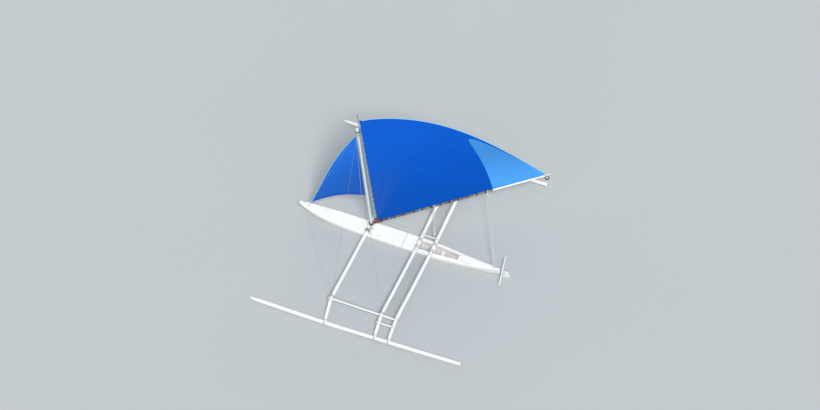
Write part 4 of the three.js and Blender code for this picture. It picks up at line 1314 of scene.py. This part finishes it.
def make_stage():
    """A pale floor at the waterline, a soft key light and an even sky, and the camera
    at the photograph's place."""
    scene = bpy.context.scene
    stage = scene.canoe_stage
    mesh = bpy.data.meshes.new("floor")
    corners = np.array([(-1, -1, 0), (1, -1, 0), (1, 1, 0), (-1, 1, 0)]) * stage.floor_size / 2
    mesh.from_pydata(corners.tolist(), [], [(0, 1, 2, 3)])
    mesh.materials.append(pale_floor(stage.floor_color))
    added("floor", mesh)
    scene.world = bpy.data.worlds.new("sky")
    scene.world.use_nodes = True
    sky = scene.world.node_tree.nodes["Background"].inputs
    sky["Color"].default_value, sky["Strength"].default_value = rgba(stage.sky_color), stage.sky
    for name, strength, azimuth, elevation, spread in (
        ("key", stage.key, stage.key_azimuth, stage.key_elevation, KEY_SPREAD),
        ("fill", stage.fill, stage.key_azimuth + FILL_TURN, FILL_ELEVATION, FILL_SPREAD),
    ):
        light = bpy.data.lights.new(name, "SUN")
        light.energy, light.angle = strength, spread
        turn = look(facing(azimuth, elevation))
        added(name, light).rotation_euler = Matrix(turn.tolist()).to_euler()
    scene.view_settings.view_transform = "Standard"
    camera = bpy.data.cameras.new("camera")
    camera.sensor_width, camera.lens = 36.0, stage.lens
    camera.clip_start, camera.clip_end = 1.0, 2000.0
    c, s = math.cos(CAMERA_ROLL), math.sin(CAMERA_ROLL)
    turn = look(facing(CAMERA_AZIMUTH, CAMERA_ELEVATION)) @ [[c, -s, 0], [s, c, 0], [0, 0, 1]]
    right, up, back = turn.T
    place = back * CAMERA_DISTANCE
    back = unit(back - right * AIM_RIGHT - up * AIM_UP)
    right = unit(right - back * (right @ back))
    matrix = np.eye(4)
    matrix[:3] = np.stack([right, np.cross(back, right), back, place], 1)
    scene.camera = added("camera", camera)
    scene.camera.matrix_world = Matrix(matrix.tolist())


def size(name, default, description, **options):
    """A number that a user can set."""
    return bpy.props.FloatProperty(name=name, default=default, description=description, **options)


def colour(name, default, description):
    """A colour that a user can set."""
    return bpy.props.FloatVectorProperty(
        name=name, default=default, description=description, subtype="COLOR", size=3, min=0, max=1
    )


class CanoeColours(bpy.types.PropertyGroup):
    """Colours of the paints, cloths and cords."""

    white: colour("White paint", (0.86, 0.87, 0.85), "Paint of hull, floats and poles")
    inner: colour("Well paint", (0.86, 0.82, 0.80), "Worn paint inside the cockpits")
    # The blue-grey of the mast's white paint is painted shade with a painted reflection of the blue sail.
    mast: colour("Mast paint", (0.67, 0.77, 0.82), "Blue-grey white paint of the mast")
    bamboo: colour("Yard cane", (0.22, 0.35, 0.38), "Weathered bamboo of the yard")
    block: colour("Blocks", (0.62, 0.61, 0.57), "Pale painted wood of the blocks")
    # On the boom, this dark brown is painted shade of the sail.
    wood: colour("Boom cane", (0.105, 0.075, 0.052), "Brown bamboo and hardwood")
    main: colour("Mainsail", (0.001, 0.111, 0.63), "Blue cloth of the mainsail")
    # The clew panel's light blue is painted sunlight on the clew corner, past the edge of the sail's own
    # shadow.
    panel: colour("Clew panel", (0.075, 0.37, 0.93), "Light blue panel at the clew")
    jib: colour("Jib", (0.012, 0.195, 0.86), "Blue cloth of the jib")
    jib_foot: colour("Jib foot", (0.003, 0.11, 0.62), "Darker band along the jib's foot")
    band: colour("Luff band", (0.30, 0.72, 0.95), "Pale blue tape at luff and leech")
    rope: colour("Rope", (0.78, 0.77, 0.72), "Plain laid rope")
    cord: colour("Lashing cord", (0.80, 0.80, 0.77), "Painted cord of the lashings")
    grey: colour("Grey cord", (0.32, 0.32, 0.33), "Cord at the fore beam and the shrouds")
    tar: colour("Tarred cord", (0.030, 0.026, 0.022), "Dark lashings")
    wrap: colour("Tack wrapping", (0.36, 0.055, 0.035), "Red-brown cord at the tack")
    net: colour("Net twine", (0.70, 0.74, 0.70), "Twine of the nets")
    metal: colour("Metal", (0.62, 0.63, 0.63), "Wire and zinc")


class CanoeRig(bpy.types.PropertyGroup):
    """Sizes of the nets and cords."""

    net_mesh: size("Net mesh", 0.055, "Side of the net's mesh", unit="LENGTH")
    net_twine: size("Net twine", 0.0029, "Radius of the net's twine", unit="LENGTH")


class CanoeStage(bpy.types.PropertyGroup):
    """The floor, the light and the camera."""

    floor_size: size("Floor size", 900.0, "Side of the square floor", unit="LENGTH")
    floor_color: colour("Floor colour", (0.43, 0.46, 0.47), "Pale floor")
    sky_color: colour("Sky colour", (0.95, 0.98, 1.0), "Colour of the even light")
    sky: size("Sky", 0.55, "Strength of the even light")
    key: size("Key light", 2.6, "Strength of the key light")
    fill: size("Fill light", 0.3, "Strength of the fill light")
    key_azimuth: size("Key azimuth", math.radians(130), "Turn from the bow towards port", subtype="ANGLE")
    key_elevation: size("Key elevation", math.radians(56), "Height above the floor", subtype="ANGLE")
    lens: size("Lens", 131.71, "Focal length", unit="CAMERA")


GROUPS = {"canoe_colours": CanoeColours, "canoe_rig": CanoeRig, "canoe_stage": CanoeStage}


class CANOE_OT_stage(bpy.types.Operator):
    """Floor, light and camera"""

    bl_idname = "canoe.stage"
    bl_label = "Stage"

    def execute(self, context):
        make_stage()
        return {"FINISHED"}


class CANOE_OT_hull(bpy.types.Operator):
    """The hull's shell with its wells"""

    bl_idname = "canoe.hull"
    bl_label = "Hull"

    def execute(self, context):
        make_hull()
        return {"FINISHED"}


class CANOE_OT_rails(bpy.types.Operator):
    """The rails along the sheer"""

    bl_idname = "canoe.rails"
    bl_label = "Sheer rails"

    def execute(self, context):
        make_rails()
        return {"FINISHED"}


class CANOE_OT_deck(bpy.types.Operator):
    """Coamings, seat, saddles and mast step"""

    bl_idname = "canoe.deck"
    bl_label = "Deck fittings"

    def execute(self, context):
        make_deck_fittings()
        return {"FINISHED"}


class CANOE_OT_beams(bpy.types.Operator):
    """Crossbeams and the legs to the floats"""

    bl_idname = "canoe.beams"
    bl_label = "Crossbeams"

    def execute(self, context):
        make_beams()
        return {"FINISHED"}


class CANOE_OT_floats(bpy.types.Operator):
    """The two floats"""

    bl_idname = "canoe.floats"
    bl_label = "Floats"

    def execute(self, context):
        make_floats()
        return {"FINISHED"}


class CANOE_OT_poles(bpy.types.Operator):
    """Braces, rungs, net rails and the bow crosspiece"""

    bl_idname = "canoe.poles"
    bl_label = "Poles"

    def execute(self, context):
        make_poles()
        return {"FINISHED"}


class CANOE_OT_nets(bpy.types.Operator):
    """Both nets with their edge ropes and lacing"""

    bl_idname = "canoe.nets"
    bl_label = "Nets"

    def execute(self, context):
        make_nets()
        return {"FINISHED"}


class CANOE_OT_mast(bpy.types.Operator):
    """The mast with its collar, band and cleats"""

    bl_idname = "canoe.mast"
    bl_label = "Mast"

    def execute(self, context):
        make_mast()
        return {"FINISHED"}


class CANOE_OT_spars(bpy.types.Operator):
    """Boom, yard and jaw"""

    bl_idname = "canoe.spars"
    bl_label = "Spars"

    def execute(self, context):
        make_spars()
        return {"FINISHED"}


class CANOE_OT_mainsail(bpy.types.Operator):
    """The mainsail with its hems"""

    bl_idname = "canoe.mainsail"
    bl_label = "Mainsail"

    def execute(self, context):
        make_mainsail()
        return {"FINISHED"}


class CANOE_OT_jib(bpy.types.Operator):
    """The jib with its hems"""

    bl_idname = "canoe.jib"
    bl_label = "Jib"

    def execute(self, context):
        make_jib()
        return {"FINISHED"}


class CANOE_OT_lashings(bpy.types.Operator):
    """Cord where one pole is tied to another"""

    bl_idname = "canoe.lashings"
    bl_label = "Lashings"

    def execute(self, context):
        make_lashings()
        return {"FINISHED"}


class CANOE_OT_sail_lashings(bpy.types.Operator):
    """Cord that ties the mainsail to its spars"""

    bl_idname = "canoe.sail_lashings"
    bl_label = "Sail lashings"

    def execute(self, context):
        make_sail_lashings()
        return {"FINISHED"}


class CANOE_OT_standing_rigging(bpy.types.Operator):
    """Stays, shrouds and their screws"""

    bl_idname = "canoe.standing_rigging"
    bl_label = "Standing rigging"

    def execute(self, context):
        make_standing_rigging()
        return {"FINISHED"}


class CANOE_OT_running_rigging(bpy.types.Operator):
    """Sheets, tackles, halyards, steering lines and blocks"""

    bl_idname = "canoe.running_rigging"
    bl_label = "Running rigging"

    def execute(self, context):
        make_running_rigging()
        return {"FINISHED"}


class CANOE_OT_rudder(bpy.types.Operator):
    """The rudder, its yoke and its plates"""

    bl_idname = "canoe.rudder"
    bl_label = "Rudder"

    def execute(self, context):
        make_rudder()
        return {"FINISHED"}


OPERATORS = (
    CANOE_OT_stage, CANOE_OT_hull, CANOE_OT_rails, CANOE_OT_deck, CANOE_OT_beams, CANOE_OT_floats,
    CANOE_OT_poles, CANOE_OT_nets, CANOE_OT_mast, CANOE_OT_spars, CANOE_OT_mainsail, CANOE_OT_jib,
    CANOE_OT_lashings, CANOE_OT_sail_lashings, CANOE_OT_standing_rigging, CANOE_OT_running_rigging,
    CANOE_OT_rudder,
)


class CANOE_PT_pieces(bpy.types.Panel):
    """Lists the canoe's pieces and its settings."""

    bl_label = "Outrigger canoe"
    bl_idname = "CANOE_PT_pieces"
    bl_space_type = "VIEW_3D"
    bl_region_type = "UI"
    bl_category = "Canoe"

    def draw(self, context):
        for operator in OPERATORS:
            self.layout.operator(operator.bl_idname)
        for group in GROUPS:
            settings = getattr(context.scene, group)
            for name in type(settings).__annotations__:
                self.layout.prop(settings, name)


def register():
    for name, group in GROUPS.items():
        bpy.utils.register_class(group)
        setattr(bpy.types.Scene, name, bpy.props.PointerProperty(type=group))
    for operator in OPERATORS:
        bpy.utils.register_class(operator)
    bpy.utils.register_class(CANOE_PT_pieces)


def unregister():
    bpy.utils.unregister_class(CANOE_PT_pieces)
    for operator in reversed(OPERATORS):
        bpy.utils.unregister_class(operator)
    for name, group in GROUPS.items():
        delattr(bpy.types.Scene, name)
        bpy.utils.unregister_class(group)


def main():
    """Makes every piece."""
    register()
    for operator in OPERATORS:
        getattr(bpy.ops.canoe, operator.bl_idname.partition(".")[2])()
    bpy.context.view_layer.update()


if __name__ == "__main__":
    main()
